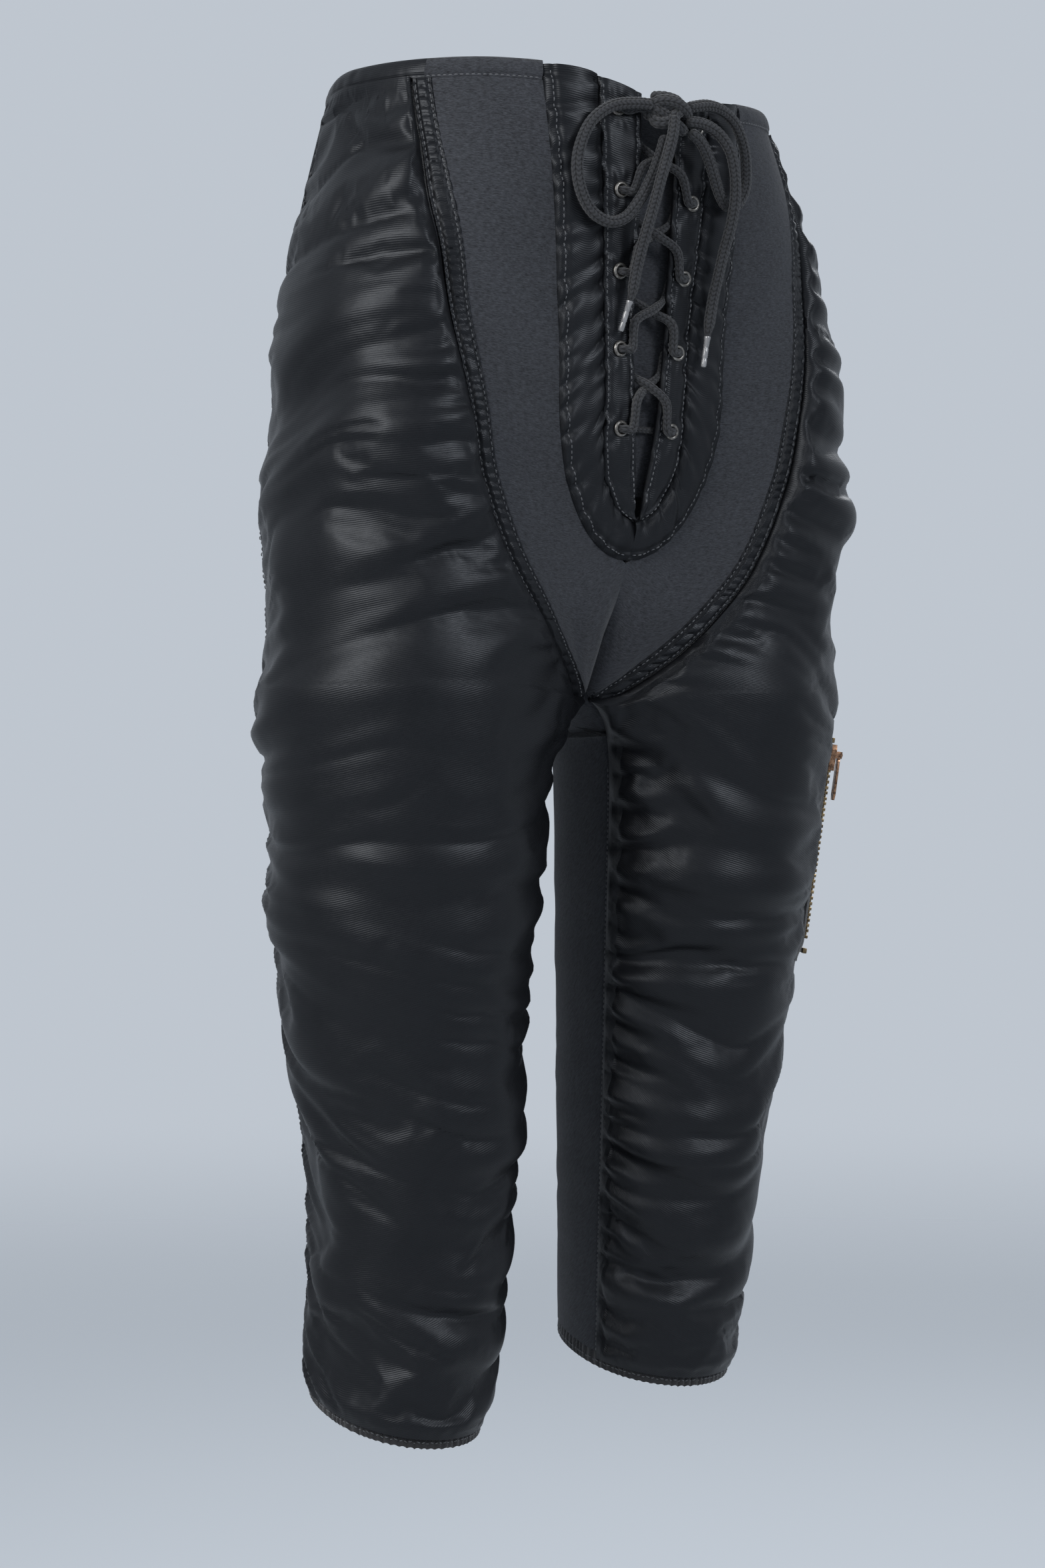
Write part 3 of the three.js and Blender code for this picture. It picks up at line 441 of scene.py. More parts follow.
def u_half(z, top, low, drop, rounding):
    """Half the width of a U at a height: tapered sides, then half an ellipse."""
    start = drop - rounding
    sides = mix(top, low, smooth(-z / start))
    end = low * np.sqrt(np.maximum(1 - ((-z - start) / rounding) ** 2, 0))
    return np.where(-z < start, sides, end)


def fly_half(z):
    return u_half(z, FLY_TOP_HALF, FLY_LOW_HALF, FLY_DROP, FLY_ROUND)


def placket_half(z):
    return u_half(z, PLACKET_TOP_HALF, PLACKET_LOW_HALF, PLACKET_DROP, PLACKET_ROUND)


def slit_half(z):
    return SLIT_HALF * (1 - smooth((-z - 120) / 150))


def placket_under(across, z):
    share = (across - slit_half(z)) / np.maximum(placket_half(z) - slit_half(z), 1e-3)
    return FLY_STAND + SLIT_LIFT * (1 - np.clip(share, 0, 1))


def placket_over(across, z):
    return placket_under(across, z) + PLACKET


# %% [markdown]
# ## How the edges sit when worn
# A stiff waist never sits level. It rides up over the right hip and dips at the fly, so every
# point near the waist is moved up or down by a smooth amount that dies out below. Each hem hangs
# like a hammock: it is lowest straight ahead and rises round to the back of the leg.

# %% Settle the waist and the hems
WAIST_ACROSS = [-122, -85, -45, 0, 55, 122]
WAIST_RISE = [9, 9, 6, -5, -3, 0]
HEM_RISE = 15
HEM_DRAW_IN = {RIGHT: 0.09, LEFT: 0.06}  # share that the worn leg narrows from its outer side


def settle(p):
    """Points in millimetres, moved from the even form to where they lie when worn."""
    p = np.array(p, float)
    rise = through(WAIST_ACROSS, WAIST_RISE, p[..., 0])
    rise = mix(rise, 3.0, smooth(p[..., 1] / 60))
    p[..., 2] += rise * smooth(1 + p[..., 2] / 150)
    side = np.where(p[..., 0] < 0, RIGHT, LEFT)
    centre_x, centre_y, half = leg(side, p[..., 2])
    ahead = centre_y - p[..., 1]
    cosine = ahead / np.maximum(np.hypot(ahead, p[..., 0] - centre_x), 20)
    draw_in = np.where(side < 0, HEM_DRAW_IN[RIGHT], HEM_DRAW_IN[LEFT])
    inner_x = centre_x - side * half
    p[..., 0] -= (p[..., 0] - inner_x) * draw_in * smooth((-p[..., 2] - 470) / 150)
    p[..., 2] += HEM_RISE * np.minimum(1 - cosine, 1.6) * smooth((-p[..., 2] - 570) / 150)
    return p


# %% Meshes from grids of points
def wobble(shape, spacing, seed):
    """Smooth noise from -1 to 1 over a grid, with features about spacing cells long."""
    source = np.random.default_rng(seed)
    result = np.zeros(shape)
    rows, columns = np.arange(shape[0]), np.arange(shape[1])
    for octave, weight in ((1, 0.65), (2, 0.35)):
        step = (spacing[0] / octave, spacing[1] / octave)
        coarse = source.uniform(-1, 1, (int(shape[0] / step[0]) + 3, int(shape[1] / step[1]) + 3))
        r, c = rows / step[0], columns / step[1]
        i, j = r.astype(int), c.astype(int)
        fr, fc = smooth(r - i)[:, None], smooth(c - j)[None, :]
        top = mix(coarse[i][:, j], coarse[i][:, j + 1], fc)
        low = mix(coarse[i + 1][:, j], coarse[i + 1][:, j + 1], fc)
        result += weight * mix(top, low, fr)
    return result


def patches(x, y, seed):
    """Smooth noise from -1 to 1 at any coordinates, with features about one unit long."""
    table = np.random.default_rng(seed).uniform(-1, 1, (64, 64))
    x, y = np.broadcast_arrays(np.asarray(x, float), np.asarray(y, float))
    i, j = np.floor(x).astype(int), np.floor(y).astype(int)
    fx, fy = smooth(x - i), smooth(y - j)

    def corner(a, b):
        return table[(i + a) % 64, (j + b) % 64]

    return mix(mix(corner(0, 0), corner(1, 0), fx), mix(corner(0, 1), corner(1, 1), fx), fy) * 1.4


def rounded_edge(distance, radius):
    """0 at an edge, 1 from one radius inside it, along a quarter circle."""
    d = 1 - np.clip(distance / radius, 0, 1)
    return np.sqrt(1 - d * d)


def lengths_along(points, axis):
    """Running length of a grid's lines along one axis."""
    steps = np.linalg.norm(np.diff(points, axis=axis), axis=-1)
    zero = np.zeros_like(np.take(steps, [0], axis=axis))
    return np.concatenate([zero, np.cumsum(steps, axis=axis)], axis=axis)


def run_along(line):
    """Running length at each point of a line."""
    return np.r_[0, np.cumsum(np.linalg.norm(np.diff(line, axis=0), axis=1))]


def points_at(line, run, lengths):
    return np.stack([np.interp(lengths, run, line[:, k]) for k in range(3)], -1)


def new_object(name, vertices, faces, uv=None):
    mesh = bpy.data.meshes.new(name)
    mesh.from_pydata([tuple(v) for v in vertices], [], faces)
    if uv is not None:
        layer = mesh.uv_layers.new(name="cloth")
        corners = np.empty(len(mesh.loops), int)
        mesh.loops.foreach_get("vertex_index", corners)
        layer.data.foreach_set("uv", np.asarray(uv, float)[corners].ravel())
    made = bpy.data.objects.new(name, mesh)
    scene.collection.objects.link(made)
    return made


def make_active(*pieces):
    bpy.ops.object.select_all(action="DESELECT")
    for piece in pieces:
        piece.select_set(True)
    bpy.context.view_layer.objects.active = pieces[0]


def join_pieces(name, pieces):
    make_active(*pieces)
    bpy.ops.object.join()
    pieces[0].name = name
    return pieces[0]


def point_outwards(made, angle=50):
    make_active(made)
    bpy.ops.object.mode_set(mode="EDIT")
    bpy.ops.mesh.select_all(action="SELECT")
    bpy.ops.mesh.remove_doubles(threshold=1e-6)
    bpy.ops.mesh.normals_make_consistent(inside=False)
    bpy.ops.object.mode_set(mode="OBJECT")
    bpy.ops.object.shade_smooth_by_angle(angle=math.radians(angle))
    return made


def closed_panel(name, outer, inner, ring_shaped=False):
    """One closed body between two grids of points, with cloth coordinates in metres."""
    rows, columns = outer.shape[:2]
    across = lengths_along(outer, 1) * MM
    along = lengths_along(outer, 0) * MM
    flat = np.stack([across - across[:, columns // 2 : columns // 2 + 1], along], -1)
    ids = np.arange(rows * columns).reshape(rows, columns)
    if ring_shaped:
        ids = np.concatenate([ids, ids[:, :1]], axis=1)
    count = rows * columns
    corner = [ids[:-1, :-1], ids[1:, :-1], ids[1:, 1:], ids[:-1, 1:]]
    front = np.stack([c.ravel() for c in corner], -1)
    faces = front.tolist() + (front[:, ::-1] + count).tolist()
    if ring_shaped:
        rims = [ids[0, :], ids[-1, :]]
    else:
        rims = [np.concatenate([ids[0, :], ids[1:, -1], ids[-1, -2::-1], ids[-2::-1, 0]])]
    for line in rims:
        faces += [[a, b, b + count, a + count] for a, b in zip(line[:-1], line[1:])]
    points = settle(np.concatenate([outer.reshape(-1, 3), inner.reshape(-1, 3)])) * MM
    made = new_object(name, points, faces, np.concatenate([flat.reshape(-1, 2)] * 2))
    return point_outwards(made)


def finish_piece(made, material, nodes, body="garment"):
    made.data.materials.clear()
    made.data.materials.append(material)
    if nodes:
        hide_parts(*nodes)
    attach(made, body)
    return made


def declare_sheet(outer):
    """Computes the cross products of a panel's grid steps from its own grid, and keeps nothing."""
    rows = np.cross(outer[1:, :-1] - outer[:-1, :-1], outer[:-1, 1:] - outer[:-1, :-1])

# %% [markdown]
# ## Materials
# The pads are satin nylon with fine ribs across the cut, so the ribs follow the cloth coordinates
# and bend with every fold. The felt is heathered: short fibres that lie across the cut, lighter
# and darker, with a rough sheen. Colours stay close to black, because the highlights and the fuzz
# do the rest.

# %% Cloth finishes
PLAIT_COLUMNS, PLAIT_PITCH, PLAIT_SLANT = 6, 2.6, 1.15  # the lace's plait: columns, length of a V
PLAIT_WIDTH = 2 * math.pi * 3.0 * MM / PLAIT_COLUMNS


def nylon_finish():
    made = Finish(
        "satin_nylon", Sheen_Weight=0.0, Sheen_Roughness=0.35,
        Specular_IOR_Level=0.23, Specular_Tint=(0.88, 0.925, 1.0, 1.0),
    )
    uv, _, along = made.cloth_uv()
    cloud = made.noise(uv, 55, 2)
    yarn = made.noise(made.stretched(uv, (260, 1500, 1)), 1.0, 2)
    ribs = ((along + cloud * 0.0006) * (2 * math.pi / 0.00115)).math("SINE")
    shade = ribs * 0.12 + yarn * 0.5 + cloud * 0.35
    made.link(made.blend(shade, (0.0013, 0.0014, 0.0018), (0.0062, 0.0066, 0.008)), "Base Color")
    made.link(yarn * 0.16 + cloud * 0.1 + 0.27, "Roughness")
    made.bump(ribs * 0.5 + yarn, 0.00009, 0.6)
    return made.material


def felt_finish():
    made = Finish(
        "stretch_felt", Sheen_Weight=0.1, Sheen_Roughness=0.5, Specular_IOR_Level=0.15
    )
    uv, _, _ = made.cloth_uv()
    fibre = made.noise(made.stretched(uv, (420, 1500, 1)), 1.0, 4, 0.7)
    tuft = made.noise(made.stretched(uv, (240, 420, 1)), 1.0, 3)
    wear = made.noise(uv, 14, 3)
    speck = ((fibre - 0.5) * 2.3 + (tuft - 0.5) * 0.9 + wear * 0.5 + 0.22).math("MAXIMUM", 0.0)
    made.link(made.blend(speck, (0.009, 0.0095, 0.0115), (0.043, 0.046, 0.054)), "Base Color")
    made.link(fibre * 0.2 + 0.78, "Roughness")
    made.bump(fibre + tuft * 0.8, 0.0005, 0.9)
    return made.material


def weave_finish(name, dark, light, pitch, roughness=0.85):
    """A plain woven tape or lining: two crossed sets of yarns."""
    made = Finish(name, Sheen_Weight=0.2, Sheen_Roughness=0.5, Specular_IOR_Level=0.3)
    uv, across, along = made.cloth_uv()
    warp = (across * (2 * math.pi / pitch)).math("SINE")
    weft = (along * (2 * math.pi / pitch)).math("SINE")
    fuzz = made.noise(uv, 900, 3)
    height = (warp * weft) * 0.5 + fuzz
    made.link(made.blend(height * 0.6, dark, light), "Base Color")
    made.link(fuzz * 0.15 + (roughness - 0.1), "Roughness")
    made.bump(height, 0.00025, 0.8)
    return made.material


def braid_finish():
    """The lace's yarns: the plaits are real shape, and the colour adds painted highlight on each
    plait's crest and painted shade in the grooves, over the fibres' own tone.
    """
    made = Finish("braided_lace", Sheen_Weight=0.15, Sheen_Roughness=0.5, Specular_IOR_Level=0.15)
    uv, around, along = made.cloth_uv()
    local = ((around / PLAIT_WIDTH).math("FRACT") - 0.5).math("ABSOLUTE")
    phase = along / (PLAIT_PITCH * MM) + local * PLAIT_SLANT
    bead = (phase * math.pi).math("COSINE").math("ABSOLUTE")
    groove = (local - 0.36).math("MAXIMUM", 0.0) * 6.5
    fibre = made.noise(made.stretched(uv, (2600, 900, 1)), 1.0, 4, 0.7)
    blotch = made.noise(uv, 160, 2)
    # painted light: bead lightens plait crests (painted highlight), groove darkens the grooves
    # (painted shade); fibre and blotch are yarn tone
    shade = bead * 0.55 + fibre * 0.75 + blotch * 0.35 - groove * 0.6 - 0.35
    shade = shade.math("MAXIMUM", 0.0)
    made.link(made.blend(shade, (0.0035, 0.0037, 0.0042), (0.037, 0.0385, 0.043)), "Base Color")
    made.link(fibre * 0.2 + 0.72, "Roughness")
    made.bump(fibre + bead * 0.7 - groove, 0.0003, 0.9)
    return made.material


def thread_finish():
    made = Finish("sewing_thread", Sheen_Weight=0.2, Specular_IOR_Level=0.4)
    place = made.object_place()
    twist = made.noise(place, 2600, 2)
    made.link(made.blend(twist, (0.028, 0.03, 0.034), (0.085, 0.088, 0.096)), "Base Color")
    made.link(twist * 0.2 + 0.5, "Roughness")
    made.bump(twist, 0.0001, 0.6)
    return made.material


# %% Metal and plastic finishes
def metal_finish(name, dark, light, rough=(0.25, 0.55), grime_scale=500):
    """Worn metal: tarnish sits in broad patches and fine scratches break the gloss."""
    made = Finish(name, Specular_IOR_Level=0.5)
    place = made.object_place()
    tarnish = made.noise(place, grime_scale, 3)
    grain = made.noise(made.stretched(place, (900, 900, 4200)), 1.0, 2)
    mask = ((tarnish - 0.38) * 2.6 + grain * 0.3).math("MAXIMUM", 0.0).math("MINIMUM", 1.0)
    made.link(made.blend(mask, dark, light), "Base Color")
    made.link(mask * (rough[0] - rough[1]) + rough[1], "Roughness")
    made.link(mask * 0.15 + 0.83, "Metallic")
    made.bump(tarnish * 0.6 + grain * 0.4, 0.00008, 0.5)
    return made.material


def tip_finish():
    made = Finish(
        "shrunk_tip", Coat_Weight=0.6, Coat_Roughness=0.12, Specular_IOR_Level=0.6,
        Transmission_Weight=0.25,
    )
    place = made.object_place()
    streak = made.noise(made.stretched(place, (700, 700, 90)), 1.0, 3)
    made.link(made.blend(streak, (0.07, 0.07, 0.073), (0.3, 0.3, 0.31)), "Base Color")
    made.link(streak * 0.2 + 0.16, "Roughness")
    made.bump(streak, 0.0001, 0.4)
    return made.material


NYLON = nylon_finish()
FELT_CLOTH = felt_finish()
LINING_CLOTH = weave_finish("brushed_lining", (0.006, 0.0065, 0.008), (0.02, 0.021, 0.025), 0.0016)
TAPE = weave_finish("woven_elastic", (0.005, 0.005, 0.006), (0.022, 0.022, 0.025), 0.0011)
LACE = braid_finish()
THREAD = thread_finish()
SILVER = metal_finish("antique_silver", (0.05, 0.047, 0.044), (0.27, 0.26, 0.245))
BRASS = metal_finish("antique_brass", (0.035, 0.025, 0.014), (0.27, 0.2, 0.11))
COPPER = metal_finish("brown_copper", (0.05, 0.028, 0.018), (0.4, 0.23, 0.14))
TIP = tip_finish()
print("finishes:", len(bpy.data.materials))

# %% [markdown]
# ## Stitches
# A stitch is a short thread that dips into the cloth at both ends. A row is hundreds of them, so
# each is a small closed bead of a few faces, laid along a line of points and half sunk. One row
# function takes any line, and the rows of one seam become one piece.

# %% Stitch rows
STITCH_PITCH, STITCH_LENGTH, STITCH_RADIUS, STITCH_SIDES = 3.1, 2.3, 0.36, 6
STITCH_STATIONS = [  # share of the length, girth, and how far out of the cloth, in radii
    (-0.5, 0.25, -0.8), (-0.3, 0.9, -0.1), (0, 1, 0.15), (0.3, 0.9, -0.1), (0.5, 0.25, -0.8),
]


def resample(line, pitch):
    """Evenly spaced points along a line, with the way it runs there."""
    line = np.asarray(line, float)
    run = run_along(line)
    at_length = np.arange(pitch / 2, run[-1], pitch)
    way = points_at(line, run, at_length + 0.4) - points_at(line, run, at_length - 0.4)
    return points_at(line, run, at_length), way / np.linalg.norm(way, axis=1, keepdims=True)


def stitch_row(name, lines):
    """Beads along one or more lines that lie on the cloth, in millimetres."""
    sides = STITCH_SIDES
    vertices, faces = [], []
    for line in lines:
        points, ways = resample(line, STITCH_PITCH)
        outs = normal_at(points)
        for p, way, out in zip(points, ways, outs):
            out = out - way * out.dot(way)
            out /= np.linalg.norm(out)
            aside = np.cross(way, out)
            first = len(vertices)
            for share, girth, sink in STITCH_STATIONS:
                middle = p + way * share * STITCH_LENGTH + out * sink * STITCH_RADIUS
                for k in range(sides):
                    turn = 2 * math.pi * k / sides
                    r = STITCH_RADIUS * girth
                    vertices.append(middle + aside * math.cos(turn) * r + out * math.sin(turn) * r)
            last = (len(STITCH_STATIONS) - 1) * sides
            for s in range(len(STITCH_STATIONS) - 1):
                for k in range(sides):
                    a, b = first + s * sides + k, first + s * sides + (k + 1) % sides
                    faces.append([a, a + sides, b + sides, b])
            faces.append([first + k for k in range(sides)])
            faces.append([first + last + k for k in reversed(range(sides))])
    made = new_object(name, settle(np.array(vertices)) * MM, faces)
    point_outwards(made, 60)
    return finish_piece(made, THREAD, [])


# %% [markdown]
# ## Thigh pads
# A thigh pad is a nylon shell over loose wadding. Its seams are shorter than the cloth, so the
# shell gathers: narrow creases start at both seams, run into the pad and fade, and between them
# the wadding pushes the cloth out into rounds. The pad is one closed body. Seeded creases give the
# gathers their places, and then Cloth with a little pressure and too much cloth settles them. The
# seams are pinned.

# %% Pad surface with gathers
PAD_PITCH, PAD_COLUMNS = 2.3, 92  # distance between rows, and grid lines across
PAD_SEED = {RIGHT: 31, LEFT: 58}
CALF_LEVEL = -345  # below it the gathers are deeper
CREASE_FIRST, CREASE_STEP = -14.0, (9, 27)
CREASE_LENGTH, CREASE_DEPTH, CREASE_THIN = (28, 55), (1.5, 3.2), (2.4, 4.4)
FOLD_OCTAVES = ((33, 180, 3.2), (17, 100, 1.0), (9, 60, 0.2))  # spacing, length and size


def fullness(side, share, z, degrees):
    """How far the wadding pushes the shell out, from 0 at its edges to about 1."""
    front = rounded_edge(share, 0.1)
    last = degrees[:, -1:]
    back = smooth((last - degrees) / (0.24 * (last - INSIDE_ANGLE)))
    top = mix(0.3, 1, np.clip(-z / 90, 0, 1))
    low = mix(0.3, 1, smooth((z - hem_height(side)) / 90))
    calf = mix(0.8, 0.42, smooth((-z - 380) / 110))
    away = np.abs(degrees - ZIP_ANGLE) / 16
    past = np.clip((np.abs(z + ZIP_TOP_DROP + ZIP_LENGTH / 2) - ZIP_LENGTH / 2 - 20) / 30, 0, 1)
    at_zip = np.exp(-(away**2)) * (1 - past) if side == LEFT else 0
    return mix(front * back * top * low * calf, 0.55, at_zip)


def fold_drop(degrees, z):
    """How far a fold has dropped at each angle: it slants on the hip and hangs on the calf."""
    upper = -0.52 * np.maximum(degrees, -40) * smooth((-z + 30) / 130)
    lower = 72 * np.clip(degrees / 126, 0, 2) ** 1.6 + 15 * (np.minimum(degrees, 0) / 70) ** 2
    return mix(upper, lower, smooth((-z - 300) / 200))


def gathers(side, share, z, degrees, width, seed):
    """Creases that start at the seams, as a height in millimetres."""
    source = np.random.default_rng(seed)
    height = np.zeros_like(z)
    bend = 4 * patches(degrees / 30, z / 40, seed + 3)
    line = z - fold_drop(degrees, z) + bend
    levels, edges = z[:, 0], (degrees[:, 0], degrees[:, -1])
    ends = {0: share * width, 1: (1 - share) * width}
    for end, distance in ends.items():
        here = CREASE_FIRST
        while here > hem_height(side) + 10:
            here -= source.uniform(*CREASE_STEP)
            long = source.random() < 0.35
            length = source.uniform(*CREASE_LENGTH) * (2.2 if long else 1)
            depth = source.uniform(*CREASE_DEPTH) * (1.2 if long else 1)
            depth *= 1.5 if here < CALF_LEVEL else 1
            thin = source.uniform(*CREASE_THIN)
            drift = source.uniform(-0.2, 0.2)
            start = np.interp(-here, -levels, edges[end])
            off = line - (here - fold_drop(start, here)) - drift * distance
            spread = thin * (1 + distance / 30)
            lean = np.where(off > 0, 0.75, 1.5)
            valley = np.exp(-((off / (spread * lean)) ** 2))
            ridge = np.exp(-(((off + 1.9 * spread) / (1.8 * spread)) ** 2))
            fade = np.exp(-((distance / length) ** 2)) * smooth(distance / 4 + 0.3)
            height += depth * fade * (0.6 * ridge - valley)
        if end == 0:
            height *= smooth(np.abs(z - SEAM_END) / 22)
    return height


def broad_folds(side, z, degrees, seed):
    """Long uneven rounds across the pad: each valley is sharp, each crest is full."""
    across = degrees * mix(1.9, 1.15, smooth((-z - 250) / 250))
    line = z - fold_drop(degrees, z) + 8 * patches(across / 60, z / 60, seed + 1)
    height = np.zeros_like(z)
    for spacing, length, size in FOLD_OCTAVES:
        waves = patches(line / spacing, across / length, seed + int(spacing))
        height += size * (2 * (waves**2 + 0.004) ** 0.4 - 1.0)
    busy = 0.78 + 0.4 * patches(across / 70, z / 75, seed + 9)
    calm_thigh = 0.5 * np.exp(-(((z + 290) / 75) ** 2)) * (1 if side == RIGHT else 0.4)
    return height * busy * (1 - calm_thigh)


def pad_grids(side):
    hem = hem_height(side)
    rows = int((-BINDING_HEIGHT - hem) / PAD_PITCH)
    z = np.linspace(-BINDING_HEIGHT + 1.0, hem, rows)
    first, last = pad_edges(side, z)
    share = np.linspace(0, 1, PAD_COLUMNS)[None, :] * np.ones((rows, 1))
    degrees = mix(first[:, None], last[:, None], share)
    level = z[:, None] * np.ones((1, PAD_COLUMNS))
    inner = on_body(side, degrees, level, GAP + LINING + GAP)
    width = lengths_along(inner, 1)[:, -1:]
    seed = PAD_SEED[side]
    full = fullness(side, share, level, degrees)
    lift = GAP + LINING + 2 * GAP + WADDING_EDGE + SHELL + WADDING_SWELL * full
    calm = smooth(np.minimum(full * 2.2, 1))
    folds = gathers(side, share, level, degrees, width, seed)
    folds *= smooth(np.minimum(share, 1 - share) * 26)
    folds += broad_folds(side, level, degrees, seed + 5) * calm
    near_zip = 0
    if side == LEFT:
        off = (degrees - ZIP_ANGLE) / 12
        from_middle = np.abs(level + ZIP_TOP_DROP + ZIP_LENGTH / 2)
        along = np.clip((from_middle - (ZIP_LENGTH / 2 + 3)) / 18, 0, 1)
        near_zip = np.exp(-(off**2)) * (1 - along)
    folds *= 1 - 0.9 * near_zip
    hem_roll = np.sqrt(np.clip((level - hem) / 9, 0, 1))
    lift = mix(GAP + LINING + 2.4, lift, hem_roll)
    lift = np.maximum(lift + folds * (0.35 + 0.65 * hem_roll), 4.2)
    return on_body(side, degrees, level, lift), inner, near_zip


# %% Cloth settles the gathers
CLOTH_FRAMES = 14
CLOTH_MOST = 3.2  # how far a point may move, in millimetres


def settle_cloth(made, loose):
    """Runs Cloth on a closed pad whose vertices outside the loose ones are pinned."""
    mesh = made.data
    rest = np.empty(len(mesh.vertices) * 3)
    mesh.vertices.foreach_get("co", rest)
    rest = rest.reshape(-1, 3)
    pins = made.vertex_groups.new(name="seams")
    pins.add([int(i) for i in np.flatnonzero(~loose)], 1.0, "REPLACE")
    cloth = made.modifiers.new("cloth", "CLOTH")
    settings = cloth.settings
    settings.quality = 5
    settings.mass = 0.25
    settings.tension_stiffness = settings.compression_stiffness = 18
    settings.shear_stiffness = 8
    settings.bending_stiffness = 0.6
    settings.use_pressure = True
    settings.uniform_pressure_force = 3.0
    settings.shrink_min = settings.shrink_max = -0.035
    settings.vertex_group_mass = "seams"
    settings.effector_weights.gravity = 0
    cloth.point_cache.frame_end = CLOTH_FRAMES
    for number in range(1, CLOTH_FRAMES + 1):
        scene.frame_set(number)
    evaluated = made.evaluated_get(bpy.context.evaluated_depsgraph_get()).to_mesh()
    moved = np.empty(len(mesh.vertices) * 3)
    evaluated.vertices.foreach_get("co", moved)
    move = moved.reshape(-1, 3) - rest
    size = np.linalg.norm(move, axis=1, keepdims=True)
    limit = CLOTH_MOST * MM
    move *= np.tanh(size / limit) * limit / np.maximum(size, 1e-9)
    made.modifiers.remove(cloth)
    made.vertex_groups.clear()
    mesh.vertices.foreach_set("co", (rest + move).ravel())
    scene.frame_set(1)
    print(made.name, "settled by up to", round(float(size.max()) * 1000, 1), "mm")


# %% Both pads and their linings
pad_lines = {}
for word, side in SIDES.items():
    outer, inner, near_zip = pad_grids(side)
    pad = closed_panel(f"thigh_pad_{word}", outer, inner)
    rows, columns = outer.shape[:2]
    count = rows * columns
    row, column = np.divmod(np.arange(count), columns)
    loose = np.zeros(len(pad.data.vertices), bool)
    free = (row > 1) & (row < rows - 2) & (column > 1) & (column < columns - 2)
    if side == LEFT:
        free &= np.ravel(near_zip) < 0.3
    loose[:count] = free
    settle_cloth(pad, loose)
    nodes = [f"thigh_pad_shell_{word}", f"thigh_pad_wadding_{word}"]
    finish_piece(pad, NYLON, nodes)
    pad_lines[side] = outer
    print(pad.name, len(pad.data.polygons), "faces")

# %% [markdown]
# ## Lining and felt panels
# Behind the wadding lies a brushed lining. The front yokes and the backs are thick stretch felt,
# cut close to the body, so they are smooth sheets with a soft face: fine grids with a low wobble,
# pulled slightly where a seam holds them. Below the fly the two yokes turn inwards into a deep
# centre fold.

# %% Angular panels
def rows_between(top, low, pitch):
    return np.linspace(top, low, int(abs(top - low) / pitch) + 1)


def span(side, z, first, last, columns, over, under):
    """Outer and inner grids of a panel between two angles at each height."""
    share = np.linspace(0, 1, columns)[None, :] * np.ones((len(z), 1))
    start, end = (np.broadcast_to(edge, z.shape)[:, None] for edge in (first, last))
    degrees = mix(start, end, share)
    level = z[:, None] * np.ones((1, columns))
    outer = on_body(side, degrees, level, over(share, level))
    inner = on_body(side, degrees, level, under(share, level))
    return outer, inner


def flat(lift):
    """A face that stands evenly off the form."""
    return lambda share, level: 0 * level + lift


def crotch_level():
    """Where the two legs part on the centre plane."""
    low, high = -RISE - 60.0, -RISE + 60.0
    for _ in range(30):
        middle = (low + high) / 2
        y = np.linspace(-60, 60, 121)
        centre = np.stack([0 * y, y, 0 * y + middle], -1)
        low, high = (low, middle) if (field(centre) < 0).any() else (middle, high)
    return high


CROTCH = crotch_level()
BACK_TOP = -BINDING_HEIGHT - GAP
print("legs part at", round(CROTCH, 1), "mm")

# %% Linings
for word, side in SIDES.items():
    z = rows_between(BACK_TOP, hem_height(side) + HEM_HEIGHT - HEM_PEEP, 5)
    first, last = pad_edges(side, z)
    outer, inner = span(side, z, first, last, 40, flat(GAP + LINING), flat(GAP))
    made = closed_panel(f"lining_{word}", outer, inner)
    finish_piece(made, LINING_CLOTH, [f"thigh_pad_lining_{word}"])

# %% Front yokes
YOKE_COLUMNS = 46
CENTRE_FOLD_DEEP, CENTRE_FOLD_WIDE = 9, 3.0
for word, side in SIDES.items():
    z = rows_between(-BINDING_HEIGHT + 0.6, SEAM_END - 1, 2.2)
    near = np.maximum(fly_half(z) - 1.5, -0.2)
    first = front_angle(side, near, z)
    last = seam_angles(side, z, SEAM_WIDTH / 2 - 0.3)[0]
    below = smooth((-z - FLY_DROP + 4) / 30)
    deep = CENTRE_FOLD_DEEP * smooth((-z - FLY_DROP + 2) / 55)
    soft = wobble((len(z), YOKE_COLUMNS), (16, 14), 11 + side)

    def centre_fold(share, level, near=near, deep=deep, soft=soft, below=below):
        across = near[:, None] + share * (seam_across(level) - near[:, None])
        dip = deep[:, None] * np.exp(-((np.maximum(across, 0) / CENTRE_FOLD_WIDE) ** 1.2))
        ridge = 1.1 * below[:, None] * np.exp(-(((across - 17) / 8) ** 2))
        return GAP + FELT + 0.35 * soft - dip + ridge

    outer, inner = span(
        side, z, first, last, YOKE_COLUMNS, centre_fold,
        lambda share, level, f=centre_fold: f(share, level) - FELT,
    )
    made = closed_panel(f"yoke_felt_{word}", outer, inner)
    finish_piece(made, FELT_CLOTH, [f"front_yoke_{word}"])
    declare_sheet(outer)

# %% Crotch gusset: a small felt patch under the four panels that meet between the legs
GUSSET_FIRST, GUSSET_LAST, GUSSET_HALF, GUSSET_CENTRE = 28, 158, 25, -285
GUSSET_MOST, GUSSET_SINK, GUSSET_THICK = 66, 11, 1.6  # its front end sinks behind the fold

